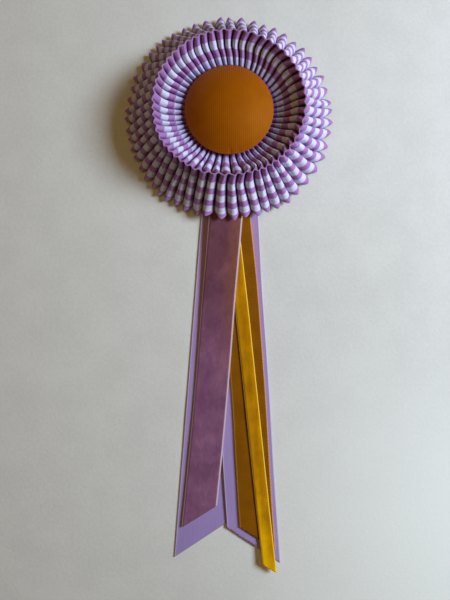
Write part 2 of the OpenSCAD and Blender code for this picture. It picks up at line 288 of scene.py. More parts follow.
class Shader:
    """A material or group tree with short ways to add what the finishes need.

    Args:
        tree: the node tree to add to.
    """

    def __init__(self, tree: bpy.types.NodeTree) -> None:
        """Keeps the tree."""
        self.tree = tree

    def node(self, kind: str, **settings: object) -> bpy.types.Node:
        """Adds a node.

        Args:
            kind: its type's name, without the prefix that all shader nodes have.
            settings: its properties.

        Returns:
            The new node.
        """
        made = self.tree.nodes.new("ShaderNode" + kind)
        for name, value in settings.items():
            setattr(made, name, value)
        return made

    def put(self, socket: Socket, value: object) -> None:
        """Links a socket to a value, or sets it where the value is a constant.

        Args:
            socket: the input.
            value: what goes into it.
        """
        if isinstance(value, bpy.types.NodeSocket):
            self.tree.links.new(value, socket)
        else:
            socket.default_value = value

    def fill(self, node: bpy.types.Node, values: dict[str | int, object]) -> Optional[Socket]:
        """Links or sets a node's inputs.

        Args:
            node: the node.
            values: what goes into its inputs, by their names or numbers.

        Returns:
            Its first output, if it has one.
        """
        for key, value in values.items():
            self.put(node.inputs[key], value)
        return next(iter(node.outputs), None)

    def math(self, operation: str, *values: Value, clamped: bool = False) -> Socket:
        """The result of a Math node, held between 0 and 1 where clamped is set."""
        made = self.node("Math", operation=operation, use_clamp=clamped)
        return self.fill(made, dict(enumerate(values)))

    def times(self, a: Value, b: Value) -> Socket:
        """The product of two values."""
        return self.math("MULTIPLY", a, b)

    def mean(self, a: Value, b: Value, share: float) -> Socket:
        """The mean of two values, in which the first one has that share."""
        return self.math("ADD", self.times(a, share), self.times(b, 1 - share))

    def span(
        self, value: Socket, low: float, high: float, to_low: float = 0.0, to_high: float = 1.0
    ) -> Socket:
        """value brought smoothly from the range low to high into to_low to to_high."""
        made = self.node("MapRange", interpolation_type="SMOOTHSTEP")
        return self.fill(made, dict(enumerate((value, low, high, to_low, to_high))))

    def blend(self, factor: Value, a: Tint, b: Tint, how: str = "MIX") -> Socket:
        """Mixes two colours.

        Args:
            factor: how far b takes effect.
            a: the first colour.
            b: the second colour.
            how: the way of mixing.

        Returns:
            The mixed colour.
        """
        made = self.node("Mix", data_type="RGBA", blend_type=how)
        a, b = (tint if isinstance(tint, bpy.types.NodeSocket) else (*tint, 1.0) for tint in (a, b))
        self.fill(made, {0: factor, 6: a, 7: b})
        return made.outputs[2]

    def steps(self, value: Socket, stops: Sequence[tuple[float, float]]) -> Socket:
        """Reads a grey ramp.

        Args:
            value: the place on the ramp.
            stops: place and brightness of each of its stops.

        Returns:
            The ramp's brightness there.
        """
        made = self.node("ValToRGB")
        ramp = made.color_ramp
        while len(ramp.elements) < len(stops):
            ramp.elements.new(0.5)
        for element, (place, grey) in zip(ramp.elements, stops):
            element.position = place
            element.color = (grey, grey, grey, 1.0)
        return self.fill(made, {0: value})

    def noise(self, where: Socket, scale: float, detail: float = 2.0, rough: float = 0.5) -> Socket:
        """Soft noise about 0.5, with scale bumps to a metre and detail finer layers of strength rough."""
        values = {"Vector": where, "Scale": scale, "Detail": detail, "Roughness": rough}
        return self.fill(self.node("TexNoise"), values)

    def marks(self, scale: tuple[float, float, float], rough: float = 0.6) -> Socket:
        """Noise in the part's frame, with scale marks to a metre along each axis."""
        place = self.fill(self.node("Mapping"), {"Vector": self.object_place(), "Scale": scale})
        return self.noise(place, 1.0, 3.0, rough)

    def object_place(self) -> Socket:
        """The point's place in the part's frame, in metres."""
        return self.node("TexCoord").outputs["Object"]

    def split(self, vector: Socket) -> tuple[Socket, ...]:
        """Takes a vector apart.

        Args:
            vector: the vector.

        Returns:
            Its three components.
        """
        parts = self.node("SeparateXYZ")
        self.put(parts.inputs[0], vector)
        return tuple(parts.outputs)

    def cloth_place(self) -> tuple[Socket, Socket]:
        """The flat cloth's coordinates in metres: along the cloth's U and V."""
        return self.split(self.node("UVMap", uv_map="Cloth").outputs[0])[:2]

    def bump(self, height: Socket, depth: float, strength: float, under: Optional[Socket] = None) -> Socket:
        """The normal of a relief of that depth, laid over the normal under where that is given."""
        values = {"Strength": strength, "Distance": depth, "Height": height}
        return self.fill(self.node("Bump"), values | ({} if under is None else {"Normal": under}))

    def use(self, group: str, **values: Value) -> dict[str, Socket]:
        """Places a shared group.

        Args:
            group: its name in GROUPS.
            values: its inputs by name.

        Returns:
            Its outputs by name.
        """
        made = self.node("Group", node_tree=GROUPS[group])
        self.fill(made, values)
        return {out.name: out for out in made.outputs}

    def mottle(self, clouds: float) -> tuple[Socket, Socket]:
        """The slow clouds and the fine specks of the shared mottle, at so many clouds to a metre."""
        made = self.use("mottle", Place=self.object_place(), Clouds=clouds)
        return made["Cloud"], made["Speck"]


def new_group(
    name: str, inputs: dict[str, float], outputs: Sequence[str], vector: bool = False
) -> tuple[bpy.types.NodeTree, Shader, dict[str, Socket], bpy.types.Node]:
    """Makes a shader group whose outputs are numbers.

    Args:
        name: the group's name.
        inputs: its number inputs by name, with their defaults.
        outputs: its outputs' names.
        vector: whether it also has a vector input called Place.

    Returns:
        The group, its Shader, its input sockets by name and its output node.
    """
    group = bpy.data.node_groups.new(name, "ShaderNodeTree")
    if vector:
        group.interface.new_socket("Place", in_out="INPUT", socket_type="NodeSocketVector")
    for label, value in inputs.items():
        made = group.interface.new_socket(label, in_out="INPUT", socket_type="NodeSocketFloat")
        made.default_value = value
    for label in outputs:
        group.interface.new_socket(label, in_out="OUTPUT", socket_type="NodeSocketFloat")
    shader = Shader(group)
    enter, leave = (group.nodes.new("NodeGroup" + end) for end in ("Input", "Output"))
    return group, shader, {out.name: out for out in enter.outputs}, leave


def wave(s: Shader, distance: Socket, pitch: Socket) -> Socket:
    """A sine that passes zero once in every pitch."""
    return s.math("SINE", s.times(s.math("DIVIDE", distance, pitch), math.pi))


def weave_group() -> bpy.types.NodeTree:
    """Over and under threads of a plain weave.

    Returns:
        A group that takes the cloth's two coordinates and the threads' pitch, and gives Height, and Gap,
        which is 1 in the tiny holes between threads.
    """
    hole_size = 2.5
    group, s, given, leave = new_group(
        "Plain weave", {"Across": 0.0, "Along": 0.0, "Pitch": 0.0005}, ("Height", "Gap")
    )
    weft, warp = (wave(s, given[side], given["Pitch"]) for side in ("Across", "Along"))
    crossing = s.times(s.math("ABSOLUTE", weft), s.math("ABSOLUTE", warp))
    thread = s.math("MULTIPLY", crossing, hole_size, clamped=True)
    s.fill(leave, {
        "Height": s.math("MULTIPLY_ADD", s.times(weft, warp), 0.5, 0.5),
        "Gap": s.math("SUBTRACT", 1.0, thread),
    })
    return group


def rib_group() -> bpy.types.NodeTree:
    """Round ribs with narrow grooves.

    Returns:
        A group that takes the distance across the ribs and their pitch, and gives Height, and Groove, which
        is 1 at the bottom of a groove.
    """
    groove_top = 0.45
    group, s, given, leave = new_group("Ribs", {"Distance": 0.0, "Pitch": 0.001}, ("Height", "Groove"))
    height = s.math("ABSOLUTE", wave(s, given["Distance"], given["Pitch"]))
    s.fill(leave, {"Height": height, "Groove": s.span(height, groove_top, 0.0)})
    return group


def edge_group() -> bpy.types.NodeTree:
    """The selvedges of a ribbon.

    Returns:
        A group that takes the distance across the ribbon from its left edge, its width and the selvedge's
        width, and gives Mask, which is 1 on the two selvedges, and Right, which is 1 on the right half.
    """
    inside, outside = 1.15, 0.85
    group, s, given, leave = new_group(
        "Selvedge", {"Across": 0.0, "Width": 0.025, "Band": 0.001}, ("Mask", "Right")
    )
    middle = s.times(given["Width"], 0.5)
    off = s.math("ABSOLUTE", s.math("SUBTRACT", given["Across"], middle))
    share = s.math("DIVIDE", s.math("SUBTRACT", middle, off), given["Band"])
    s.fill(leave, {
        "Mask": s.span(share, inside, outside),
        "Right": s.math("GREATER_THAN", given["Across"], middle),
    })
    return group


def mottle_group() -> bpy.types.NodeTree:
    """Slow unevenness of a dyed cloth.

    Returns:
        A group that takes the place and the clouds to a metre, and gives Cloud, which is broad and soft,
        and Speck, which is finer, both about 0.5.
    """
    specks_to_cloud = 22.0
    group, s, given, leave = new_group("Mottle", {"Clouds": 60.0}, ("Cloud", "Speck"), vector=True)
    scaled = s.node("VectorMath", operation="SCALE")
    place = s.fill(scaled, {0: given["Place"], "Scale": given["Clouds"]})
    s.fill(leave, {
        "Cloud": s.noise(place, 1.0, 3.0, 0.55),
        "Speck": s.noise(place, specks_to_cloud, 2.0, 0.6),
    })
    return group


GROUPS = {"weave": weave_group(), "ribs": rib_group(), "edge": edge_group(), "mottle": mottle_group()}


# Finishes

class Finish:
    """What every finish shares: a material with one Principled shader.

    Args:
        name: the material's name.
    """

    name: str

    def inputs(self, s: Shader) -> dict[str, object]:
        """Makes what goes into the Principled shader.

        Args:
            s: the material's Shader.

        Returns:
            Values and sockets by the names of its inputs.
        """
        raise NotImplementedError

    def make(self) -> Material:
        """Builds the material.

        Returns:
            The material.
        """
        material = bpy.data.materials.new(self.name)
        material.use_nodes = True
        surface = next(n for n in material.node_tree.nodes if n.type == "BSDF_PRINCIPLED")
        s = Shader(material.node_tree)
        s.fill(surface, self.inputs(s))
        return material


@dataclass(frozen=True)
class StripedCloth(Finish):
    """Cotton ribbon woven in purple and white bands along its length.

    Args:
        name: the material's name.
        edges: distances of the bands' ends from the rim's edge, in millimetres; the first band is purple.
        pleat: length of cloth in one pleat, in millimetres, from one valley to the next.
        button_shade: how strong the painted shade is where the cloth goes under the button, from 0 to 1.
        shade_fade_x: places on the X axis between which the painted shade in the creases goes over from
            full to weaker on the lit side, and how strong it stays there, from 0 to 1.
        purple: the dyed bands' colour.
        white: the white bands' colour.
        selvedge: the colour of the two edges.
        crease_shade: the colour of the painted shade deep in the creases.
        dust: the colour of faint clouds of dust.
        hole: the colour in the tiny holes between threads.
        button_shade_tint: the tint of the painted shade next to the button, as a factor.
        blur: how far a band's end runs into the next band, in millimetres.
        thread: the threads' pitch.
        wander: how far the bands' ends wander.
        faint: distances from the rim between which the painted shade in the creases grows faint.
        under: distances from the rim between which the painted shade next to the button grows.
        puckers: small puckers to a metre, and their depth.
    """

    name: str
    edges: tuple[float, ...]
    pleat: float
    button_shade: float
    shade_fade_x: tuple[float, float, float]
    purple: Colour = (0.42, 0.19, 0.49)
    white: Colour = (0.73, 0.72, 0.92)
    selvedge: Colour = (0.45, 0.25, 0.48)
    crease_shade: Colour = (0.055, 0.02, 0.05)
    dust: Colour = (0.50, 0.34, 0.48)
    hole: Colour = (0.22, 0.14, 0.22)
    button_shade_tint: Colour = (0.62, 0.56, 0.78)
    blur: float = 0.28
    thread: float = 0.00052
    wander: float = 0.0005
    faint: tuple[float, float] = (0.028, 0.037)
    under: tuple[float, float] = (0.0145, 0.0205)
    puckers: tuple[float, float] = (330.0, 0.0009)

    def stops(self) -> list[tuple[float, float]]:
        """The bands as stops of a ramp over the width.

        Returns:
            Place and brightness of each stop, in which 1 is purple.
        """
        width = self.edges[-1]
        stops = [(0.0, 1.0)]
        for k, edge in enumerate(self.edges[:-1]):
            before = 1.0 - k % 2
            stops += [((edge - self.blur) / width, before), ((edge + self.blur) / width, 1.0 - before)]
        return stops

    def bands(self, s: Shader, across: Socket) -> Socket:
        """How purple the cloth is.

        Args:
            s: the material's Shader.
            across: the distance from the rim.

        Returns:
            1 on the purple bands and 0 on the white ones, whose ends wander a little.
        """
        wobble = s.math("MULTIPLY_ADD", s.noise(s.object_place(), 900.0), self.wander, -self.wander / 2)
        return s.steps(s.math("DIVIDE", s.math("ADD", across, wobble), self.edges[-1] * MM), self.stops())

    def creases(self, s: Shader, along: Socket, across: Socket) -> Socket:
        """How much painted shade the creases get.

        Args:
            s: the material's Shader.
            along: the distance along the ribbon.
            across: the distance from the rim.

        Returns:
            The share of the painted shade's colour, which is highest in the valleys.
        """
        shaded_x, lit_x, lit_share = self.shade_fade_x
        turn = s.math("COSINE", s.times(along, 2 * math.pi / (self.pleat * MM)))
        deep = s.times(s.span(turn, -0.6, 0.7), s.span(across, *self.faint, 0.94, 0.25))
        return s.times(deep, s.span(s.split(s.object_place())[0], shaded_x, lit_x, 1.0, lit_share))

    def inputs(self, s: Shader) -> dict[str, object]:
        """What goes into the shader; the cloth's V runs across the ribbon from the rim.

        Args:
            s: the material's Shader.

        Returns:
            Values and sockets by the names of its inputs.
        """
        along, across = s.cloth_place()
        cloud, speck = s.mottle(110.0)
        weave = s.use("weave", Across=across, Along=along, Pitch=self.thread)
        cloth = s.blend(self.bands(s, across), self.white, self.purple)
        cloth = s.blend(s.span(cloud, 0.35, 0.75, 0.0, 0.16), cloth, self.dust)
        cloth = s.blend(s.times(weave["Gap"], 0.35), cloth, self.hole)
        # Painted shade deep in the creases of the pleats, weaker towards the lit side.
        cloth = s.blend(self.creases(s, along, across), cloth, self.crease_shade)
        # Painted shade on the cloth next to and under the button.
        cloth = s.blend(s.span(across, *self.under, 0.0, self.button_shade), cloth, self.button_shade_tint, "MULTIPLY")
        edge = s.use("edge", Across=across, Width=self.edges[-1] * MM, Band=0.0003)
        finer, depth = self.puckers
        puckers = s.bump(s.noise(s.object_place(), finer), depth, 0.45)
        return {
            "Base Color": s.blend(edge["Mask"], cloth, self.selvedge),
            "Roughness": s.span(speck, 0.3, 0.7, 0.72, 0.9),
            "Normal": s.bump(weave["Height"], 0.00012, 0.5, puckers),
            "Specular IOR Level": 0.12,
            "Sheen Weight": 0.04,
            "Sheen Roughness": 0.5,
        }


@dataclass(frozen=True, kw_only=True)
class Velvet(Finish):
    """Velvet ribbon: short pile that glows at a slant, with flat woven selvedges.

    Args:
        name: the material's name.
        pile: the pile's colour.
        low: the pile's colour towards the ribbon's free end; the change to it is painted shade from the
            head near its top and, on a lifted end, painted light.
        lit: the pile's colour with painted light on its right side.
        left: the tint of its left side, as a factor.
        glow: the tint of the pile's sheen.
        sheen: the weight of the sheen.
        left_edge: the left selvedge's colour.
        right_edge: the right selvedge's colour.
        width: the ribbon's width in millimetres.
        band: the selvedge's width in millimetres.
        marks: the pile's brush marks to a metre, across and along it.
        turn: where along the ribbon its colour goes over to low.
        lit_end: where along the ribbon its right side is no longer lit.
        dark_marks: the tint of the darker brush marks, as a factor.
        light_marks: the tint of the lighter ones.
        hole: the tint in the holes of the ground weave.
        groove: the tint between the selvedges' threads.
        ground: the ground weave's pitch.
        thread: the pitch of the selvedges' threads.
        clouds: the pile's slow mottling, in clouds to a metre.
    """

    name: str
    pile: Colour
    low: Colour
    lit: Colour
    left: Colour
    glow: Colour
    sheen: float
    left_edge: Colour
    right_edge: Colour
    width: float
    band: float
    marks: tuple[float, float]
    turn: tuple[float, float]
    lit_end: tuple[float, float]
    dark_marks: Colour = (0.84, 0.80, 0.84)
    light_marks: Colour = (1.28, 1.28, 1.22)
    hole: Colour = (0.6, 0.55, 0.6)
    groove: Colour = (0.5, 0.4, 0.45)
    ground: float = 0.0009
    thread: float = 0.0008
    clouds: float = 60.0

    def pile_colour(self, s: Shader, across: Socket, along: Socket, cloud: Socket) -> Socket:
        """The pile's colour, brushed, with painted light on its right side and painted shade and light
        along it.

        Args:
            s: the material's Shader.
            across: the distance from the left edge.
            along: the distance along the ribbon.
            cloud: the slow mottling.

        Returns:
            The colour.
        """
        width = self.width * MM
        marks_across, marks_along = self.marks
        brushed = s.mean(cloud, s.marks((marks_across, marks_along, marks_along)), 0.65)
        # Painted shade near the head and painted light on a lifted free end, along the ribbon.
        pile = s.blend(s.span(along, *self.turn), self.pile, self.low)
        side = s.times(s.span(across, 0.4 * width, 0.95 * width), s.span(along, *self.lit_end, 1.0, 0.0))
        pile = s.blend(side, pile, self.lit)
        pile = s.blend(s.span(across, 0.2 * width, 0.6 * width, 1.0, 0.0), pile, self.left, "MULTIPLY")
        pile = s.blend(s.span(brushed, 0.5, 0.38), pile, self.dark_marks, "MULTIPLY")
        pile = s.blend(s.span(brushed, 0.5, 0.64), pile, self.light_marks, "MULTIPLY")
        weave = s.use("weave", Across=across, Along=along, Pitch=self.ground)
        return s.blend(s.times(weave["Gap"], 0.30), pile, self.hole, "MULTIPLY")

    def inputs(self, s: Shader) -> dict[str, object]:
        """What goes into the shader; the cloth's U runs across the ribbon from its left edge.

        Args:
            s: the material's Shader.

        Returns:
            Values and sockets by the names of its inputs.
        """
        across, along = s.cloth_place()
        cloud, speck = s.mottle(self.clouds)
        edge = s.use("edge", Across=across, Width=self.width * MM, Band=self.band * MM)
        threads = s.use("ribs", Distance=along, Pitch=self.thread)
        woven = s.blend(edge["Right"], self.left_edge, self.right_edge)
        woven = s.blend(s.times(threads["Groove"], 0.4), woven, self.groove, "MULTIPLY")
        return {
            "Base Color": s.blend(edge["Mask"], self.pile_colour(s, across, along, cloud), woven),
            "Roughness": s.math("MULTIPLY_ADD", edge["Mask"], -0.35, 0.95),
            "Normal": s.bump(s.math("ADD", speck, s.times(cloud, 2.0)), 0.0004, 0.35),
            "Specular IOR Level": 0.06,
            "Sheen Weight": self.sheen,
            "Sheen Roughness": 0.4,
            "Sheen Tint": (*self.glow, 1.0),
        }


@dataclass(frozen=True, kw_only=True)
class Satin(Finish):
    """Satin ribbon: long floats along its length, which shine across.

    Args:
        name: the material's name.
        colour: its colour.
        shade: its colour in the slight stripes along it.
        selvedge_highlight: its selvedges' colour, a painted highlight along its two edges.
        head_shade_tint: the tint of the painted warm shade next to the head, as a factor.
        head_shade_end: distances along the ribbon between which that painted shade fades.
        width: the ribbon's width in millimetres.
        band: the selvedges' width.
        float_pitch: the pitch of the floats.
    """

    name: str
    colour: Colour
    shade: Colour
    selvedge_highlight: Colour
    head_shade_tint: Colour
    head_shade_end: tuple[float, float] = (0.08, 0.20)
    width: float
    band: float = 0.0008
    float_pitch: float = 0.00045

    def inputs(self, s: Shader) -> dict[str, object]:
        """What goes into the shader; the cloth's U runs across the ribbon from its left edge.

        Args:
            s: the material's Shader.

        Returns:
            Values and sockets by the names of its inputs.
        """
        across, along = s.cloth_place()
        streak = s.marks((900.0, 14.0, 14.0))
        cloud, _ = s.mottle(45.0)
        colour = s.blend(s.span(s.mean(streak, cloud, 0.6), 0.38, 0.62), self.shade, self.colour)
        # Painted warm shade next to the head.
        colour = s.blend(s.span(along, *self.head_shade_end, 1.0, 0.0), colour, self.head_shade_tint, "MULTIPLY")
        edge = s.use("edge", Across=across, Width=self.width * MM, Band=self.band)
        floats = s.use("ribs", Distance=across, Pitch=self.float_pitch)
        return {
            # Painted highlight along the selvedges.
            "Base Color": s.blend(edge["Mask"], colour, self.selvedge_highlight),
            "Roughness": s.span(streak, 0.3, 0.7, 0.42, 0.55),
            "Normal": s.bump(floats["Height"], 0.00004, 0.4),
            "Specular IOR Level": 0.45,
            "Anisotropic": 0.5,
            "Sheen Weight": 0.1,
        }


@dataclass(frozen=True, kw_only=True)
class Grosgrain(Finish):
    """Ribbed ribbon: heavy weft ribs across, fine warp between.

    Args:
        name: the material's name.
        colour: the ribs' colour.
        shade: the colour in the grooves.
        pitch: the ribs' pitch in millimetres.
        groove: how dark the grooves are, from 0 to 1.
        picot: the colour of the little loops along its two edges.
        picot_pitch: their pitch in millimetres, or 0 for none.
        width: the ribbon's width in millimetres, where it has such loops.
        warp: the warp threads' pitch.
        glint: the tint of the threads' shine.
    """

    name: str
    colour: Colour
    shade: Colour
    pitch: float
    groove: float
    picot: Colour = (0.0, 0.0, 0.0)
    picot_pitch: float = 0.0
    width: float = 0.0
    warp: float = 0.0004
    glint: Colour = (1.0, 0.45, 0.05)

    def with_picots(self, s: Shader, across: Socket, along: Socket, base: Socket) -> Socket:
        """Adds the little loops' colour along the two edges.

        Args:
            s: the material's Shader.
            across: the distance from the left edge.
            along: the distance along the ribbon.
            base: the ribbon's colour.

        Returns:
            The colour with the loops.
        """
        edge = s.use("edge", Across=across, Width=self.width * MM, Band=0.0007)
        loops = s.use("ribs", Distance=along, Pitch=self.picot_pitch * MM)
        between = s.blend(s.times(edge["Mask"], 0.6), base, self.shade)
        return s.blend(s.times(edge["Mask"], s.span(loops["Height"], 0.35, 0.75)), between, self.picot)

    def inputs(self, s: Shader) -> dict[str, object]:
        """What goes into the shader; the cloth's V runs square to the ribs.

        Args:
            s: the material's Shader.

        Returns:
            Values and sockets by the names of its inputs.
        """
        across, along = s.cloth_place()
        cloud, speck = s.mottle(80.0)
        ribs = s.use("ribs", Distance=along, Pitch=self.pitch * MM)
        warp = s.use("ribs", Distance=across, Pitch=self.warp)
        base = s.blend(s.span(cloud, 0.3, 0.7, 0.0, 0.35), self.colour, self.shade)
        base = s.blend(s.times(ribs["Groove"], self.groove), base, self.shade)
        base = s.blend(s.times(warp["Groove"], 0.2), base, self.shade)
        if self.picot_pitch:
            base = self.with_picots(s, across, along, base)
        return {
            "Base Color": base,
            "Roughness": s.span(speck, 0.3, 0.7, 0.5, 0.68),
            "Normal": s.bump(ribs["Height"], 0.0001, 0.5, s.bump(warp["Height"], 0.00004, 0.5)),
            "Specular IOR Level": 0.4,
            "Specular Tint": (*self.glint, 1.0),
        }


@dataclass(frozen=True)
class Felt(Finish):
    """Pressed wool felt with a fuzzy surface.

    Args:
        name: the material's name.
        colour: its colour.
    """

    name: str
    colour: Colour

    def inputs(self, s: Shader) -> dict[str, object]:
        """What goes into the shader.

        Args:
            s: the material's Shader.

        Returns:
            Values and sockets by the names of its inputs.
        """
        cloud, speck = s.mottle(260.0)
        return {
            "Base Color": s.blend(cloud, tuple(c * 0.6 for c in self.colour), self.colour),
            "Roughness": s.span(speck, 0.2, 0.8, 0.85, 1.0),
            "Normal": s.bump(speck, 0.0005, 0.6),
            "Specular IOR Level": 0.1,
            "Sheen Weight": 0.4,
            "Sheen Roughness": 0.6,
        }


@dataclass(frozen=True)
class Steel(Finish):
    """Nickelled steel of the pin, with fine handling scratches.

    Args:
        name: the material's name.
        colour: its colour.
    """

    name: str = "nickelled_steel"
    colour: Colour = (0.62, 0.61, 0.58)

    def inputs(self, s: Shader) -> dict[str, object]:
        """What goes into the shader.

        Args:
            s: the material's Shader.

        Returns:
            Values and sockets by the names of its inputs.
        """
        scratches = s.marks((200.0, 4000.0, 2000.0), rough=0.7)
        cloud, _ = s.mottle(300.0)
        dull = tuple(c * 0.75 for c in self.colour)
        return {
            "Base Color": s.blend(s.span(cloud, 0.4, 0.7), self.colour, dull),
            "Roughness": s.span(scratches, 0.35, 0.7, 0.22, 0.42),
            "Normal": s.bump(scratches, 0.00002, 0.3),
            "Metallic": 1.0,
        }


@dataclass(frozen=True)
class Paper(Finish):
    """Pale wove paper under the rosette.

    Args:
        name: the material's name.
        colour: its colour.
        light_pool_colour: a painted pool of window light on the paper beyond the tails' free end on the
            right.
        light_pool_x: where on the X axis it goes over to that painted light.
        light_pool_y: where on the Y axis.
    """

    name: str = "pale_paper"
    colour: Colour = (0.76, 0.75, 0.70)
    light_pool_colour: Colour = (0.88, 0.89, 0.83)
    light_pool_x: tuple[float, float] = (-0.05, 0.16)
    light_pool_y: tuple[float, float] = (-0.12, -0.32)

    def inputs(self, s: Shader) -> dict[str, object]:
        """What goes into the shader.

        Args:
            s: the material's Shader.

        Returns:
            Values and sockets by the names of its inputs.
        """
        fibre = s.noise(s.object_place(), 420.0, 4.0, 0.6)
        cloud = s.noise(s.object_place(), 35.0, 3.0, 0.5)
        low = tuple(c * 0.93 for c in self.colour)
        wove = s.blend(s.span(s.mean(fibre, cloud, 0.5), 0.35, 0.65), low, self.colour)
        x, y, _ = s.split(s.object_place())
        # Painted pool of window light at the lower right of the paper.
        light_pool = s.times(s.span(x, *self.light_pool_x), s.span(y, *self.light_pool_y))
        return {
            "Base Color": s.blend(light_pool, wove, self.light_pool_colour),
            "Normal": s.bump(fibre, 0.0004, 0.25),
            "Roughness": 0.92,
            "Specular IOR Level": 0.2,
        }


# The pleated rings

# Angle of each pleat's outward fold at the rim, in degrees anticlockwise from +X
RIM_FOLDS = (
    -2, 4.8, 11.6, 18.4, 24.1, 29.9, 36.8, 44, 51.2, 57.7, 64,
    72.3, 79.3, 86.8, 94.8, 101.9, 107.2, 112.9, 118.7, 124.7, 131.8, 138.5,
    144.9, 151.1, 157.5, 163.4, 169.5, 177.6, 183.6, 189.2, 194.6, 200.8, 207.4,
    213.4, 218.7, 224.6, 230.2, 235.5, 242.2, 250, 258, 266.5, 274.5, 281.2,
    288.3, 293.6, 299, 304.5, 310, 315.7, 322, 328.7, 335.8, 343.2, 350.2,
)
# Angle of the same pleat's tip
TIPS = (
    5.2, 9, 16.8, 24.2, 30.2, 36.6, 43.2, 49, 56.4, 63, 69.4,
    75.2, 82.8, 90.2, 94.4, 103.6, 110, 116.6, 123.4, 130.2, 134.6, 140.2,
    147.4, 156.6, 162, 169, 175.4, 179.6, 186.8, 191.4, 197.4, 202.2, 209.4,
    215.4, 221.6, 226.8, 231.8, 238, 243.8, 251.2, 256.6, 265.8, 273, 279.4,
    287.2, 292.8, 299, 306, 312.6, 321, 329.4, 338.2, 344, 352.6, 358,
)
PLEATS = len(TIPS)
# Each table below goes round the head: its first column is the angle, in degrees.
# How many degrees an outer pleat turns from the rim to the foot of its neck
NECK = Track.of(
    (
        (0, 1.0), (12, 0), (20, -0.4), (45, 0.3), (90, -0.3), (150, -0.4), (180, -0.8), (195, 0.6),
        (225, 0.5), (240, -0.3), (250, -1.5), (262, -1.8), (272, -3.3), (282, -3.5), (288, -2.7),
        (294, -0.6), (305, 0.2), (318, 1.2), (330, 1.8), (345, 1.3), (360, 1.0),
    ),
    1,
)
# How far the tips are lifted by the tails under them
LIFT = Track.of(
    ((0, 0), (232, 0), (250, 1.2), (256, 5.7), (280, 5.7), (287, 3.2), (292, 1.4), (302, 0), (360, 0)), 1
)
# How far the rim bulges out
RIM_BULGE = Track.of(
    ((0, 0), (185, 0), (207, 1.3), (225, 0.6), (250, 0), (260, -1), (287, -1), (298, 0), (360, 0)), 1
)
# How much deeper the valleys are
GAPE = Track.of(
    (
        (0, 0), (50, 0), (75, 0.8), (110, 0.8), (130, 0), (195, 0), (222, 1.6), (290, 1.6), (310, 0),
        (360, 0),
    ),
    1,
)
# How many degrees the inner pleats turn from the rim to the upper white band, and how many they turn back
# from there to the button
TWIST = (
    (0, 2.2, -0.6), (5, 1.2, -0.6), (12, 1.1, -0.6), (18, 1.6, -1.7), (30, 3.2, -2), (44, 3.8, -2.4),
    (52, 2.7, -2.3), (64, 3, -2.8), (75, 2.3, -2.9), (87, 1.2, -3), (95, -0.9, -2.4), (102, -1.2, -2.8),
    (107, 1, -2.6), (113, 2, -2.4), (122, 2.9, -1.9), (135, 2.1, -1.5), (150, 2, -1.8), (165, 1.7, -1.7),
    (181, 2, -1.6), (190, 2.2, -1.2), (197, 1.5, -1), (204, 0.2, -1.2), (213, -1.2, -1.3),
    (222, -1.5, -0.6), (238, -1.1, 0.2), (243, -1.5, 0.2), (250, -3.5, -0.2), (268, -4, -0.5),
    (276, -2.2, -1.5), (282, 1.4, -3.3), (288, 2.5, -3.6), (299, 2.1, -1.9), (304, 2.1, -0.8),
    (310, 2.8, -0.1), (316, 3.9, 0.1), (322, 4.7, 1), (329, 5.2, 0.8), (336, 4.3, 0.5), (343, 3.7, -0.3),
    (350, 3.6, 0), (360, 2.2, -0.6),
)
TWIST_IN = Track.of(TWIST, 1)
TWIST_BACK = Track.of(TWIST, 2)


@dataclass(frozen=True)
class FoldRow:
    """One row across a pleated ribbon, from the rim to its other edge.

    Args:
        t: share of the way from the rim.
        crest: radius and height of the pleats' crests.
        valley: radius and height of the valleys between them.
        full: how round the crests are and how narrow the valleys, from 0 to 1.
        point: how far the fold is a plain zigzag, from 0 to 1.
    """

    t: float
    crest: tuple[float, float]
    valley: tuple[float, float]
    full: float
    point: float

    def numbers(self) -> tuple[float, ...]:
        """All the numbers in a row."""
        return (self.t, *self.crest, *self.valley, self.full, self.point)


def spread(angles: Sequence[float], g: float, split: float = 0.5) -> float:
    """The angle at place g round the ring.

    Args:
        angles: a table of one angle for each pleat.
        g: the place, where the table's entry k is at k + 0.5.
        split: where a whole number lies between the entries on its two sides.

    Returns:
        The angle in degrees, which runs on past 360 as g runs on past the number of pleats.
    """
    k = math.floor(g - 0.5)
    share = g - 0.5 - k
    low = angles[k % PLEATS] + TURN * (k // PLEATS)
    high = angles[(k + 1) % PLEATS] + TURN * ((k + 1) // PLEATS)
    if share < 0.5:
        return mix(low, high, 2 * share * split)
    return mix(low, high, split + (2 * share - 1) * (1 - split))


class Uneven:
    """Small unevenness of the pleats, smooth from each one to the next.

    Args:
        seed: seeds the draws.
    """

    def __init__(self, seed: int) -> None:
        """Draws a value for each pleat."""
        draw = random.Random(seed)
        self.values = [draw.uniform(-1, 1) for _ in range(PLEATS)]

    def at(self, g: float) -> float:
        """The unevenness at a place.

        Args:
            g: the place round the ring, in pleats.

        Returns:
            A value from -1 to 1.
        """
        k = math.floor(g - 0.5)
        return mix(self.values[k % PLEATS], self.values[(k + 1) % PLEATS], ease(g - 0.5 - k))


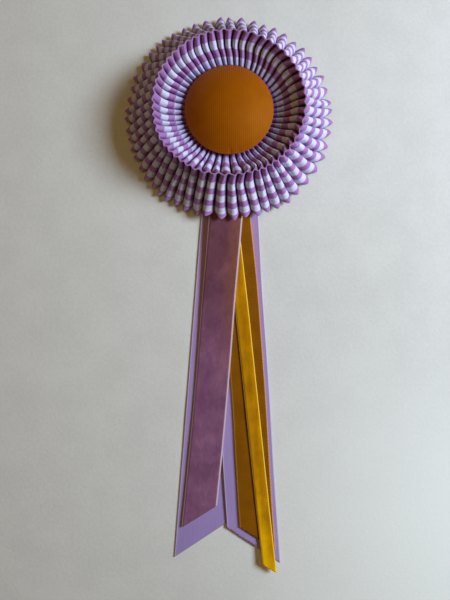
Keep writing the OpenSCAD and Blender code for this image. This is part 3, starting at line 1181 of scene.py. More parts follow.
@dataclass(kw_only=True)
class Frill(Part):
    """A ribbon pleated into a ring.

    Args:
        name: the piece's name.
        node: the solid that it stands for.
        rows: rows across the ribbon.
        oval: how far the rim and the other edge are wider than tall, as radii.
        finish: the striped cloth.
        seed: seeds its unevenness.
        width: the ribbon's width.
        thickness: the cloth's thickness.
        columns: mesh columns to a pleat.
        lines: mesh lines across the ribbon.
        crowding: how much closer together the lines are at the two edges, from 0 to 1.
        rim_split: where a valley lies between two folds at the rim.
        rim_share: share of the way from the rim that the rim's bulge takes to fade.
        roundness: the power that rounds a full pleat.
        start: where the first pleat starts, in pleats.
        outward: whether its visible face looks outwards.
    """

    name: str
    node: str
    rows: tuple[FoldRow, ...]
    oval: tuple[float, float]
    finish: StripedCloth
    seed: int
    width: float = 38.0
    thickness: float = 0.35
    columns: int = 20
    lines: int = 44
    crowding: float = 0.6
    rim_split: float = 0.4
    rim_share: float = 0.2
    roundness: float = 0.75
    start: float = 0.0
    outward: bool = True

    def __post_init__(self) -> None:
        """Makes the curves through the rows and draws the unevenness."""
        table = [row.numbers() for row in self.rows]
        self.tracks = [Track.of(table, k) for k in range(1, len(table[0]))]
        self.bend, self.curl, self.reach = (Uneven(self.seed + k) for k in range(3))

    def row(self, t: float) -> list[float]:
        """The row's numbers at share t, without t itself."""
        return [track.at(t) for track in self.tracks]

    def line_places(self) -> list[float]:
        """Where the mesh's lines are.

        Returns:
            Their shares of the way from the rim, closer together at the two edges.
        """
        shares = [k / self.lines for k in range(self.lines + 1)]
        return [mix(share, (1 - math.cos(math.pi * share)) / 2, self.crowding) for share in shares]

    def cloth_places(self, lines: Sequence[float]) -> list[float]:
        """Measures the lines along the cloth's crests.

        Args:
            lines: the lines' shares of the way from the rim.

        Returns:
            How far each line is from the rim, in millimetres, the last at the ribbon's width.
        """
        spots = [self.row(t)[:2] for t in lines]
        total, out = 0.0, [0.0]
        for a, b in zip(spots, spots[1:]):
            total += math.dist(a, b)
            out.append(total)
        return [x * self.width / total for x in out]

    def place(self, k: int, tau: float, t: float, row: Sequence[float]) -> Vector:
        """The place of a point of the cloth.

        Args:
            k: the pleat's number.
            tau: share of the way through its cloth.
            t: share of the way from the rim.
            row: the row's numbers there.

        Returns:
            The point in millimetres.
        """
        crest_r, crest_z, valley_r, valley_z, full, point = row
        swell = (1 - math.cos(2 * math.pi * tau)) / 2
        high = mix(swell ** mix(1.0, self.roundness, full), 1 - abs(2 * tau - 1), point)
        g = k + self.start + tau - full * math.sin(2 * math.pi * tau) / (2 * math.pi)
        angle = self.angle(g, t)
        wider = mix(*self.oval, clamp(t)) * math.cos(2 * math.radians(angle))
        bulge = RIM_BULGE.at(angle % TURN) * max(0.0, 1 - t / self.rim_share)
        gape = GAPE.at(angle % TURN) * ease(t / self.rim_share) * (1 - clamp(t)) * (1 - high)
        radius = mix(valley_r, crest_r, high) + wider + bulge + self.ragged(g, t)
        height = mix(valley_z, crest_z, high) - gape + self.lift(angle % TURN, t)
        a = math.radians(angle)
        return Vector((radius * math.cos(a), radius * math.sin(a), height))

    def angle(self, g: float, t: float) -> float:
        """Where a point of the cloth is round the head.

        Args:
            g: its place round the ring, in pleats.
            t: its share of the way from the rim.

        Returns:
            The angle in degrees.
        """
        raise NotImplementedError

    def ragged(self, g: float, t: float) -> float:
        """How much further out the cloth reaches there, in millimetres."""
        return 0.0

    def lift(self, angle: float, t: float) -> float:
        """How far the cloth is lifted there, in millimetres."""
        return 0.0

    def build(self) -> None:
        """Makes the pleated ring."""
        lines = self.line_places()
        table = [self.row(t) for t in lines]
        across = self.cloth_places(lines)
        steps = PLEATS * self.columns
        bm = grid_sheet(steps, self.lines)

        def place(column: int, line: int) -> Vector:
            """The point at a column and a line of the mesh.

            Args:
                column: the column's number.
                line: the line's number.

            Returns:
                The point in millimetres.
            """
            k, part = divmod(column % steps, self.columns)
            return self.place(k, part / self.columns, lines[line], table[line])

        def cloth(column: int, line: int) -> tuple[float, float]:
            """The flat cloth's coordinates there."""
            return column / self.columns * self.finish.pleat * MM, across[line] * MM

        lay_out(bm, place, cloth)
        bmesh.ops.remove_doubles(bm, verts=bm.verts, dist=1e-5)
        side = 1 if self.outward else -1
        face_towards(bm, lambda p: Vector((p.x * side, p.y * side, 0)).normalized() + UP)
        piece = finish_mesh(bm, self.name, self.finish.make())
        thicken(piece, self.thickness)
        sew_on(piece, "striped_ribbon", self.node)


@dataclass(kw_only=True)
class OuterFrill(Frill):
    """The ribbon that slopes from the rim out and down to pointed tips.

    Args:
        neck: share of the way from the rim at which a pleat's neck ends.
        ragged_tips: how unequally the tips reach out.
        puffed: how unequally the pleats are puffed up.
        sway: degrees that a pleat bends one way, and that it bends both ways.
    """

    neck: float = 0.25
    ragged_tips: float = 0.8
    puffed: float = 0.35
    sway: tuple[float, float] = (0.75, 0.55)

    def angle(self, g: float, t: float) -> float:
        """Each pleat turns a little in its neck and then runs straight to its tip.

        Args:
            g: its place round the ring, in pleats.
            t: its share of the way from the rim.

        Returns:
            The angle in degrees.
        """
        in_neck = ease(t / self.neck)
        rim = spread(RIM_FOLDS, g, mix(self.rim_split, 0.5, in_neck))
        neck = rim + NECK.at(rim % TURN) * clamp(t / self.neck)
        down = clamp((t - self.neck / 2) / (1 - self.neck / 2))
        way = math.pi * clamp(t)
        one, both = self.sway
        bent = one * self.bend.at(g) * math.sin(way) + both * self.curl.at(g) * math.sin(2 * way)
        return mix(neck, spread(TIPS, g), down) + bent * in_neck

    def ragged(self, g: float, t: float) -> float:
        """The tips reach out unequally, and some pleats are puffed up more than others."""
        tips = self.ragged_tips * self.reach.at(g) * t * t
        return tips + self.puffed * self.curl.at(g) * math.sin(math.pi * t)

    def lift(self, angle: float, t: float) -> float:
        """The tails lift the tips that lie on them."""
        return LIFT.at(angle) * t


@dataclass(kw_only=True)
class InnerFrill(Frill):
    """The ribbon that slopes from the rim down into the cup and under the button.

    Args:
        neck: share of the way from the rim at which a pleat's neck ends.
        sway: degrees that a pleat bends.
    """

    start: float = -0.5
    outward: bool = False
    neck: float = 0.12
    sway: float = 0.65

    def __post_init__(self) -> None:
        """Makes the curves of how far the pleats have turned, and turned back, at a share from the rim."""
        super().__post_init__()
        self.turn_in = Track((0, 0.03, 0.07, 0.15, 0.21, 1), (0, 0.25, 0.5, 0.85, 1, 1))
        self.turn_back = Track((0, 0.25, 0.4, 0.5, 0.58, 1), (0, 0, 0.7, 1, 1.25, 1.25))

    def angle(self, g: float, t: float) -> float:
        """The pleats turn one way under the rim and back again towards the button.

        Args:
            g: its place round the ring, in pleats.
            t: its share of the way from the rim.

        Returns:
            The angle in degrees.
        """
        rim = spread(RIM_FOLDS, g, mix(self.rim_split, 0.5, ease(t / self.neck)))
        there = TWIST_IN.at(rim % TURN) * self.turn_in.at(t)
        back = TWIST_BACK.at(rim % TURN) * self.turn_back.at(t)
        return rim + there + back + self.sway * self.bend.at(g) * math.sin(math.pi * clamp(t))


def frills() -> tuple[OuterFrill, InnerFrill]:
    """The two pleated rings with their tables.

    Returns:
        The outer one and the inner one.
    """
    outer = OuterFrill(
        name="outer_ruffle",
        node="outer_frill",
        rows=(
            FoldRow(0.000, (51.9, 31.4), (50.4, 31.4), 0.2, 0.8),
            FoldRow(0.050, (52.6, 29.7), (49.9, 28.3), 0.4, 0.5),
            FoldRow(0.120, (53.7, 27.2), (49.9, 24.6), 0.7, 0.2),
            FoldRow(0.205, (55.4, 24.4), (51.1, 20.7), 0.9, 0.1),
            FoldRow(0.345, (59.1, 20.4), (54.7, 16.1), 0.97, 0),
            FoldRow(0.480, (62.4, 16.6), (57.9, 12.3), 0.97, 0),
            FoldRow(0.625, (66.2, 12.6), (61.7, 8.2), 0.97, 0),
            FoldRow(0.765, (69.7, 8.7), (65.4, 4.7), 0.97, 0),
            FoldRow(0.900, (73.2, 5.3), (68.8, 2.6), 0.85, 0.1),
            FoldRow(1.000, (76.4, 3.9), (70.6, 2.1), 0.45, 0.45),
        ),
        oval=(1.1, 0.8),
        finish=StripedCloth(
            name="striped_cotton_outer", edges=(7.7, 13.1, 18.2, 23.7, 28.9, 34.2, 38.0), pleat=12.5,
            button_shade=0.0, shade_fade_x=(0.010, 0.045, 0.12),
        ),
        seed=7,
    )
    inner = InnerFrill(
        name="inner_ruffle",
        node="inner_frill",
        rows=(
            FoldRow(0.000, (49.9, 31.4), (51.3, 31.4), 0.2, 0.8),
            FoldRow(0.050, (48.6, 30.2), (50.4, 28.3), 0.5, 0.5),
            FoldRow(0.142, (46.1, 27.8), (49.1, 24.2), 0.8, 0.2),
            FoldRow(0.300, (42.0, 23.6), (45.7, 19.6), 0.97, 0),
            FoldRow(0.430, (37.7, 20.3), (40.8, 15.6), 0.97, 0),
            FoldRow(0.560, (33.6, 18.3), (35.4, 13.4), 0.97, 0),
            FoldRow(0.645, (30.4, 17.3), (31.4, 13.2), 0.9, 0),
            FoldRow(1.000, (17.4, 16.6), (17.5, 15.6), 0.5, 0),
        ),
        oval=(1.1, 0.0),
        finish=StripedCloth(
            name="striped_cotton_inner", edges=(5.4, 11.4, 16.6, 21.5, 26.8, 32.2, 38.0), pleat=10.0,
            button_shade=0.9, shade_fade_x=(-0.008, -0.04, 0.65),
        ),
        seed=21,
    )
    return outer, inner


# The button

@dataclass
class Button(Part):
    """A domed button covered with ribbed ribbon, gathered under its edge.

    Args:
        radius: its radius.
        edge_z: the height of its edge.
        edge_r: the radius of its rolled edge.
        rise: how far the dome rises over its edge.
        rib: the ribs' pitch.
        rib_height: the ribs' height.
        rib_fade: how far from the edge the ribs fade.
        columns: mesh columns across the ribs.
        lines: mesh lines along them.
        tuck_start: the radius at which the small tucks start.
        tucks: angle, spread in degrees and depth of each tuck.
        roll_steps: steps of the rolled edge.
        roll_step: degrees to a step.
        gathers: folds of the gathered edge.
        gather: their height.
    """

    radius: float = 31.4
    edge_z: float = 20.2
    edge_r: float = 2.2
    rise: float = 11.0
    rib: float = 1.4
    rib_height: float = 0.045
    rib_fade: float = 1.5
    columns: int = 270
    lines: int = 120
    tuck_start: float = 24.0
    tucks: tuple[tuple[float, float, float], ...] = (
        (271.5, 2.2, 0.5), (284, 2.6, 0.22), (96, 2.4, 0.3), (118, 3, 0.2), (205, 3, 0.25), (338, 3, 0.25),
        (20, 2.5, 0.2),
    )
    roll_steps: int = 6
    roll_step: float = 15.0
    gathers: int = 72
    gather: float = 0.12

    def __post_init__(self) -> None:
        """Works out the dome's own radius and half its angle."""
        self.dome_r = (self.radius**2 + self.rise**2) / (2 * self.rise)
        self.half = math.asin(self.radius / self.dome_r)

    def top(self, x: float, y: float) -> float:
        """Height of the dome over a point."""
        return self.edge_z + self.rise - self.dome_r + math.sqrt(max(0.0, self.dome_r**2 - x * x - y * y))

    def tuck(self, x: float, y: float) -> float:
        """Depth of the small tucks where the cloth is drawn in at the edge.

        Args:
            x: the point's place along X.
            y: its place along Y.

        Returns:
            The depth in millimetres.
        """
        radius, angle = math.hypot(x, y), math.degrees(math.atan2(y, x)) % TURN
        near = ease((radius - self.tuck_start) / (self.radius - self.tuck_start))
        depth = 0.0
        for place, width, deep in self.tucks:
            off = (angle - place + TURN / 2) % TURN - TURN / 2
            depth += deep * math.exp(-((off / width) ** 2))
        return depth * near * near

    def dome(self) -> Mesh:
        """Makes the ribbed dome.

        Returns:
            The dome, as an open sheet.
        """
        bm = grid_sheet(self.columns, self.lines)

        def place(column: int, line: int) -> Vector:
            """The point at a column and a line of the mesh.

            Args:
                column: the column's number.
                line: the line's number.

            Returns:
                The point in millimetres.
            """
            arc = self.half * (2 * column / self.columns - 1)
            x = self.dome_r * math.sin(arc)
            turn = math.pi / 2 * (2 * line / self.lines - 1)
            y = math.sqrt(max(0.0, self.radius**2 - x * x)) * math.sin(turn)
            rib = self.rib_height * abs(math.sin(math.pi * self.dome_r * arc / self.rib))
            fade = ease((self.radius - math.hypot(x, y)) / self.rib_fade)
            return Vector((x, y, self.top(x, y) + (rib - self.rib_height) * fade - self.tuck(x, y)))

        def cloth(column: int, line: int) -> tuple[float, float]:
            """The flat cloth's coordinates there: along the ribs and across them."""
            across = self.dome_r * self.half * (2 * column / self.columns - 1)
            return (2 * line / self.lines - 1) * self.radius * MM, across * MM

        lay_out(bm, place, cloth)
        bmesh.ops.remove_doubles(bm, verts=bm.verts, dist=1e-4)
        face_towards(bm, lambda p: UP)
        return bm

    def roll_under(self, bm: Mesh) -> None:
        """Rolls the cloth under the edge, gathers it and closes the button below.

        Args:
            bm: the dome.
        """
        rolled = [edge for edge in bm.edges if edge.is_boundary]
        for step in range(1, self.roll_steps + 1):
            a = math.radians(self.roll_step * step)
            rolled = only(bmesh.types.BMEdge, bmesh.ops.extrude_edge_only(bm, edges=rolled)["geom"])
            for vert in {v for edge in rolled for v in edge.verts}:
                out = Vector((vert.co.x, vert.co.y, 0)).normalized()
                fold = self.gather * math.sin(a) * math.sin(self.gathers * math.atan2(out.y, out.x))
                roll = self.edge_r + fold
                vert.co = out * (self.radius - self.edge_r + roll * math.cos(a))
                vert.co.z = self.edge_z - roll * math.sin(a)
        bmesh.ops.contextual_create(bm, geom=rolled)
        bmesh.ops.recalc_face_normals(bm, faces=bm.faces)

    def build(self) -> None:
        """Makes the covered button."""
        bm = self.dome()
        self.roll_under(bm)
        finish = Grosgrain(
            name="mustard_ribbed_cloth", colour=(0.345, 0.089, 0.001), shade=(0.25, 0.058, 0.001),
            pitch=self.rib, groove=0.3,
        )
        piece = finish_mesh(bm, "covered_button", finish.make())
        sew_on(piece, "mustard_grosgrain", "button")


# The tails

class Cut(Enum):
    """Which side of a tail's slanted end is longer."""

    LEFT_LONGER = 1
    RIGHT_LONGER = -1


CUT_SLANT = math.tan(math.radians(38))


@dataclass(kw_only=True)
class Tail(Part):
    """A ribbon that hangs from under the head and lies on what is below it.

    Args:
        name: the piece's name.
        node: the solid that it stands for.
        table: rows of distance below the head's axis, x of the middle line, and height of the underside
            at the left and the right edge.
        width: the ribbon's width.
        thickness: the ribbon's own thickness.
        cut: which side of its end is longer.
        slot: the record's material slot.
        finish: the ribbon's finish.
        lies_on: the pieces under it.
        columns: mesh columns across it.
        pitch: the pitch of the mesh's lines along it.
        crowding: how much closer together the columns are at the edges, from 0 to 1.
        spare: how far the cloth runs on before its end is cut.
    """

    name: str
    node: str
    table: tuple[tuple[float, float, float, float], ...]
    width: float
    thickness: float
    cut: Cut
    slot: str
    finish: Finish
    lies_on: tuple[str, ...]
    columns: int = 24
    pitch: float = 1.4
    crowding: float = 0.6
    spare: float = 2.0

    def __post_init__(self) -> None:
        """Makes the curves through the table's columns."""
        self.middle, self.left, self.right = (Track.of(self.table, k) for k in (1, 2, 3))
        self.start, self.end = self.table[0][0], self.table[-1][0]
        self.longer = self.width / 2 * CUT_SLANT

    def run(self, down: float) -> tuple[Vector, Vector]:
        """The ribbon's run, seen from above.

        Args:
            down: the distance below the head's axis.

        Returns:
            The middle line's point there and the direction across it.
        """
        slope = self.middle.at(down + 0.5) - self.middle.at(down - 0.5)
        across = Vector((1, slope, 0)).normalized()
        return Vector((self.middle.at(down), -down, 0)), across

    def relief(self, across: float, along: float) -> float:
        """The cloth's own form over its even lie.

        Args:
            across: the distance from the middle line.
            along: the distance along the ribbon.

        Returns:
            The height in millimetres.
        """
        return 0.0

    def edge_reach(self, across: float, along: float) -> float:
        """How far the cloth reaches sideways past its even width, in millimetres."""
        return 0.0

    def surface(self, across: float, down: float, along: float) -> Vector:
        """A point of the visible face.

        Args:
            across: its distance from the middle line.
            down: its distance below the head's axis.
            along: its distance along the ribbon.

        Returns:
            The point in millimetres.
        """
        point, side = self.run(down)
        point = point + side * (across + self.edge_reach(across, along))
        share = clamp(across / self.width + 0.5)
        under = mix(self.left.at(-point.y), self.right.at(-point.y), share)
        point.z = under + self.thickness + self.relief(across, along)
        return point

    def across_places(self) -> list[float]:
        """Where the mesh's columns are.

        Returns:
            Their distances from the middle line, closer together at the edges.
        """
        half = self.width / 2
        shares = [2 * k / self.columns - 1 for k in range(self.columns + 1)]
        return [half * mix(x, math.sin(math.pi / 2 * x), self.crowding) for x in shares]

    def cut_end(self, bm: Mesh) -> None:
        """Cuts the ribbon's end at a slant.

        Args:
            bm: the ribbon, which runs on past its end.
        """
        end, side = self.run(self.end)
        ahead = Vector((side.y, -side.x, 0))
        slant = side - ahead * CUT_SLANT * self.cut.value
        normal = Vector((-slant.y, slant.x, 0)).normalized()
        if normal.dot(ahead) < 0:
            normal = -normal
        everything = [*bm.verts, *bm.edges, *bm.faces]
        bmesh.ops.bisect_plane(bm, geom=everything, plane_co=end, plane_no=normal, clear_outer=True)

    def build(self) -> None:
        """Makes the ribbon and cuts its end."""
        reach = self.end + self.longer + self.spare
        lines = round((reach - self.start) / self.pitch)
        downs = [mix(self.start, reach, k / lines) for k in range(lines + 1)]
        alongs = [0.0]
        for a, b in zip(downs, downs[1:]):
            alongs.append(alongs[-1] + math.hypot(b - a, self.middle.at(b) - self.middle.at(a)))
        bm = grid_sheet(self.columns, lines)
        acrosses = self.across_places()
        lay_out(
            bm,
            lambda column, line: self.surface(acrosses[column], downs[line], alongs[line]),
            lambda column, line: ((acrosses[column] + self.width / 2) * MM, alongs[line] * MM),
        )
        self.cut_end(bm)
        face_towards(bm, lambda p: UP)
        piece = finish_mesh(bm, self.name, self.finish.make())
        thicken(piece, self.thickness)
        sew_on(piece, self.slot, self.node)
        list(self.lies_on)


@dataclass(kw_only=True)
class SatinTail(Tail):
    """A thin satin ribbon, slightly crowned, with a fine raised edge.

    Args:
        crown: the height of its middle over its edges.
        waves: height, length and skew of its two slow waves.
        edge: the height of its raised edge.
        edge_share: share of the half width at which the edge rises, and over which it does.
    """

    width: float = 38.0
    thickness: float = 0.3
    slot: str = "lilac_satin"
    crown: float = 0.28
    waves: tuple[Point, Point] = ((0.10, 23.0, 1.3), (0.06, 9.1, 2.1))
    edge: float = 0.16
    edge_share: tuple[float, float] = (0.955, 0.03)

    def relief(self, across: float, along: float) -> float:
        """A low crown, slow waves and a rolled edge.

        Args:
            across: place across the ribbon from its middle.
            along: place along it.

        Returns:
            The height over the flat ribbon, in millimetres.
        """
        share = 2 * across / self.width
        waves = sum(height * math.sin(along / length + skew * share) for height, length, skew in self.waves)
        rise_start, rise = self.edge_share
        edge = self.edge * ease((abs(share) - rise_start) / rise)
        return max(0.0, self.crown * (1 - share * share) + waves) + edge


@dataclass(kw_only=True)
class VelvetTail(Tail):
    """A velvet ribbon, whose pile stops just short of its flat selvedges.

    Args:
        band: the selvedge's width.
        pile: the pile's height over the selvedge.
        shoulder: where the pile rises and over how much, as shares of the selvedge's width.
        crown: the height of the middle over the edges.
        wave: height of its slow waves, their length along it, and how slowly they shift across it.
    """

    band: float = 1.0
    pile: float = 0.5
    shoulder: tuple[float, float] = (0.7, 0.6)
    crown: float = 0.2
    wave: Point = (0.06, 14.0, 9.0)

    def relief(self, across: float, along: float) -> float:
        """The selvedges lie lower than the pile.

        Args:
            across: place across the ribbon from its middle.
            along: place along it.

        Returns:
            The height over the flat ribbon, in millimetres.
        """
        inside = self.width / 2 - abs(across)
        start, rise = (share * self.band for share in self.shoulder)
        edge = self.pile * (1 - ease((inside - start) / rise))
        crown = self.crown * (1 - (2 * across / self.width) ** 2)
        height, length, shift = self.wave
        return crown - edge + height * math.sin(along / length + across / shift)


@dataclass(kw_only=True)
class RibbedTail(Tail):
    """A grosgrain ribbon, whose ribs end in tiny scallops.

    Args:
        rib: the ribs' pitch.
        rib_height: the ribs' height.
        crown: the height of the middle over the edges.
        picot: the scallops' pitch.
        scallop: the scallops' depth.
        scalloped: share of the half width at which the scallops start.
    """

    rib: float = 1.1
    rib_height: float = 0.07
    crown: float = 0.15
    picot: float = 1.7
    scallop: float = 1.1
    scalloped: float = 0.9

    def relief(self, across: float, along: float) -> float:
        """The ribs, and a low crown.

        Args:
            across: place across the ribbon from its middle.
            along: place along it.

        Returns:
            The height over the flat ribbon, in millimetres.
        """
        rib = self.rib_height * abs(math.sin(math.pi * along / self.rib))
        return rib + self.crown * (1 - (2 * across / self.width) ** 2)

    def edge_reach(self, across: float, along: float) -> float:
        """The scallops at the two edges.

        Args:
            across: place across the ribbon from its middle.
            along: place along it.

        Returns:
            How far the point is moved across, in millimetres.
        """
        out = ease((abs(2 * across / self.width) - self.scalloped) / (1 - self.scalloped))
        scallop = self.scallop * (math.sin(math.pi * along / self.picot) ** 2 - 0.5)
        return math.copysign(1.0, across) * out * scallop


def satin_tails() -> list[Tail]:
    """The two lilac tails.

    Returns:
        The left one and the right one, which lies on it.
    """
    satin = Satin(
        name="lilac_satin_cloth", colour=(0.388, 0.278, 0.565), shade=(0.362, 0.256, 0.535),
        selvedge_highlight=(0.58, 0.46, 0.66), head_shade_tint=(1.12, 0.93, 0.86), width=SatinTail.width,
    )
    left = SatinTail(
        name="satin_ribbon_left",
        node="tail_lilac_left",
        table=(
            (18, 2.6, 4.2, 4.2), (38, 1.1, 4.2, 4.2), (62, -0.9, 0, 0), (209, -12.5, 0, 0),
            (313.5, -20.8, 0, 0),
        ),
        cut=Cut.LEFT_LONGER,
        finish=satin,
        lies_on=("felt_pad",),
    )
    right = SatinTail(
        name="satin_ribbon_right",
        node="tail_lilac_right",
        table=(
            (18, -0.3, 5.4, 5.4), (38, 1.1, 5.4, 5.4), (62, 2.6, 1.2, 1.2), (75, 3.4, 1.25, 1.2),
            (123, 5.9, 1.45, 1.25), (166, 8.9, 1.6, 1.2), (209, 11.8, 1.65, 0.9), (257, 14.5, 1.5, 0.4),
            (317.6, 18.7, 1.3, 0),
        ),
        cut=Cut.RIGHT_LONGER,
        finish=satin,
        lies_on=("felt_pad", "satin_ribbon_left"),
    )
    return [left, right]


def ribbed_tail() -> Tail:
    """The brown tail.

    Returns:
        The tail, whose colour has the same ribs and picots as its shape.
    """
    width = 25
    finish = Grosgrain(
        name="brown_ribbed_cloth", colour=(0.265, 0.092, 0.003), shade=(0.12, 0.040, 0.001),
        pitch=RibbedTail.rib, groove=0.28, picot=(0.85, 0.37, 0.05), picot_pitch=RibbedTail.picot,
        width=width,
    )
    return RibbedTail(
        name="ribbed_ribbon",
        node="tail_grosgrain",
        table=(
            (18, -2.3, 6.6, 6.6), (38, -0.1, 6.6, 6.6), (62, 2.3, 2.4, 2.4), (75, 3.7, 2.5, 2.45),
            (127, 9, 2.75, 2.55), (168, 12.1, 2.8, 2.45), (208, 15, 2.75, 2.25), (283, 19.4, 2.4, 1.7),
            (312, 21.4, 2.3, 1.4),
        ),
        width=width,
        thickness=0.4,
        cut=Cut.RIGHT_LONGER,
        slot="brown_grosgrain",
        finish=finish,
        lies_on=("felt_pad", "satin_ribbon_right"),
        columns=18,
        pitch=RibbedTail.rib / 4,
    )


def velvet_tails() -> list[Tail]:
    """The two velvet tails.

    Returns:
        The narrow yellow one and the mauve one, which lies on everything else.
    """
    yellow = Velvet(
        name="yellow_velvet_cloth", pile=(0.46, 0.190, 0.001), low=(1.0, 0.535, 0.001),
        lit=(0.53, 0.222, 0.001), left=(1.26, 1.33, 1.0), glow=(1.0, 0.6, 0.02), sheen=0.3,
        left_edge=(0.90, 0.66, 0.20), right_edge=(0.90, 0.60, 0.05), width=10, band=0.55,
        marks=(420.0, 12.0), turn=(0.25, 0.33), lit_end=(0.29, 0.33),
    )
    mauve = Velvet(
        name="mauve_velvet_cloth", pile=(0.182, 0.068, 0.092), low=(0.256, 0.108, 0.196),
        lit=(0.275, 0.098, 0.075), left=(1.04, 1.0, 1.06), glow=(0.8, 0.45, 0.6), sheen=0.4,
        left_edge=(0.46, 0.29, 0.30), right_edge=(0.66, 0.48, 0.52), width=25, band=1.0,
        marks=(260.0, 130.0), turn=(0.07, 0.18), lit_end=(0.08, 0.20),
    )
    narrow = VelvetTail(
        name="yellow_velvet_ribbon",
        node="tail_yellow_velvet",
        table=(
            (18, -4, 7.8, 7.8), (38, -1.9, 7.8, 7.8), (62, 0.7, 3.6, 3.6), (75, 2.1, 3.7, 3.7),
            (97, 4.5, 3.8, 3.8), (145, 10, 3.9, 3.85), (170, 12.6, 3.9, 3.8), (208, 16.6, 3.85, 3.65),
            (275, 23.7, 3.45, 3.15), (312, 27.7, 3, 2.9), (333, 30.1, 4.1, 3.9),
        ),
        width=yellow.width,
        thickness=0.7,
        cut=Cut.RIGHT_LONGER,
        slot="yellow_velvet",
        finish=yellow,
        lies_on=("felt_pad", "ribbed_ribbon"),
        columns=20,
        band=yellow.band,
    )
    wide = VelvetTail(
        name="mauve_velvet_ribbon",
        node="tail_mauve_velvet",
        table=(
            (18, 2.2, 9, 9), (38, 0.5, 9, 9), (62, -1.5, 4.2, 5.7), (75, -2.6, 4.0, 5.7),
            (97, -4.5, 3.2, 5.8), (134, -7.8, 1.7, 5.4), (170, -10.5, 1.35, 4.5), (208, -13.6, 1.3, 3.5),
            (240, -16.5, 1.3, 2.9), (262, -18.7, 1.3, 2.5), (295.6, -22.1, 1.3, 1.5),
        ),
        width=mauve.width,
        thickness=0.8,
        cut=Cut.LEFT_LONGER,
        slot="mauve_velvet",
        finish=mauve,
        lies_on=("felt_pad", "yellow_velvet_ribbon", "ribbed_ribbon", "satin_ribbon_left"),
        columns=36,
        band=mauve.band,
    )
    return [narrow, wide]


# The back

@dataclass
class Backing(Part):
    """Two discs of felt, whose lower one has a window for the pin, and the stem that carries the button.

    Args:
        radius: the upper disc's radius.
        inset: how much smaller the lower disc is.
        thickness: the top of the upper disc.
        rim: the radius of the upper disc's softened rims.
        stem_radius: the stem's radius.
        stem_top: the stem's top.
        stem_rim: the radius of the stem's softened rims.
        window: half the window's length, half its width, and its depth, which the lower disc fills.
        window_y: where the window's middle is along Y.
        seam: the clearance between the lower disc, the upper one and the stem.
        sides: flat sides to a circle.
    """

    radius: float = 35.0
    inset: float = 0.6
    thickness: float = 4.0
    rim: float = 0.3
    stem_radius: float = 16.0
    stem_top: float = 17.8
    stem_rim: float = 0.6
    window: tuple[float, float, float] = (17.0, 4.0, 3.0)
    window_y: float = 20.0
    seam: float = 0.02
    sides: int = 96

    def disc(self, bm: Mesh, radius: float, low: float, high: float, soft: float) -> None:
        """Adds a closed disc with softened rims.

        Args:
            bm: the mesh.
            radius: the disc's radius.
            low: its underside's height.
            high: its top's height.
            soft: the radius of its rims.
        """
        verts = bmesh.ops.create_cone(
            bm, cap_ends=True, segments=self.sides, radius1=radius, radius2=radius, depth=high - low
        )["verts"]
        bmesh.ops.translate(bm, vec=(0, 0, (low + high) / 2), verts=verts)
        rims = [e for e in edges_of(verts) if abs(e.verts[0].co.z - e.verts[1].co.z) < 1e-6]
        bmesh.ops.bevel(bm, geom=rims, offset=soft, segments=3, profile=0.5, affect="EDGES", material=-1)

    def pad(self, felt: Material) -> None:
        """Makes the lower disc with its window.

        Args:
            felt: the felt.
        """
        bm = bmesh.new()
        radius = self.radius - self.inset
        ring = bmesh.ops.create_circle(bm, cap_ends=False, segments=self.sides, radius=radius)
        half_x, half_y, depth = self.window
        corners = [
            bm.verts.new((x * half_x, self.window_y + y * half_y, 0))
            for x, y in ((-1, -1), (1, -1), (1, 1), (-1, 1))
        ]
        sides = [bm.edges.new((corners[k], corners[(k + 1) % 4])) for k in range(4)]
        filled_plate(bm, [*edges_of(ring["verts"]), *sides], -depth, 0)
        piece = finish_mesh(bm, "felt_pad", felt, smooth=False)
        sew_on(piece, "felt", "backing")

    def top_and_stem(self, felt: Material) -> None:
        """Makes the upper disc and the stem.

        Args:
            felt: the felt.
        """
        bm = bmesh.new()
        self.disc(bm, self.radius, self.window[2] + self.seam, self.thickness, self.rim)
        self.disc(bm, self.stem_radius, self.thickness + self.seam, self.stem_top, self.stem_rim)
        piece = finish_mesh(bm, "felt_top_and_stem", felt, smooth=False)
        sew_on(piece, "felt")

    def build(self) -> None:
        felt = Felt("plum_felt", (0.115, 0.062, 0.11)).make()
        self.pad(felt)
        self.top_and_stem(felt)


class Lay(Enum):
    """Along which axis a rod of the pin lies; the value is the axis that it is turned about."""

    ALONG_X = "Y"
    ALONG_Y = "X"


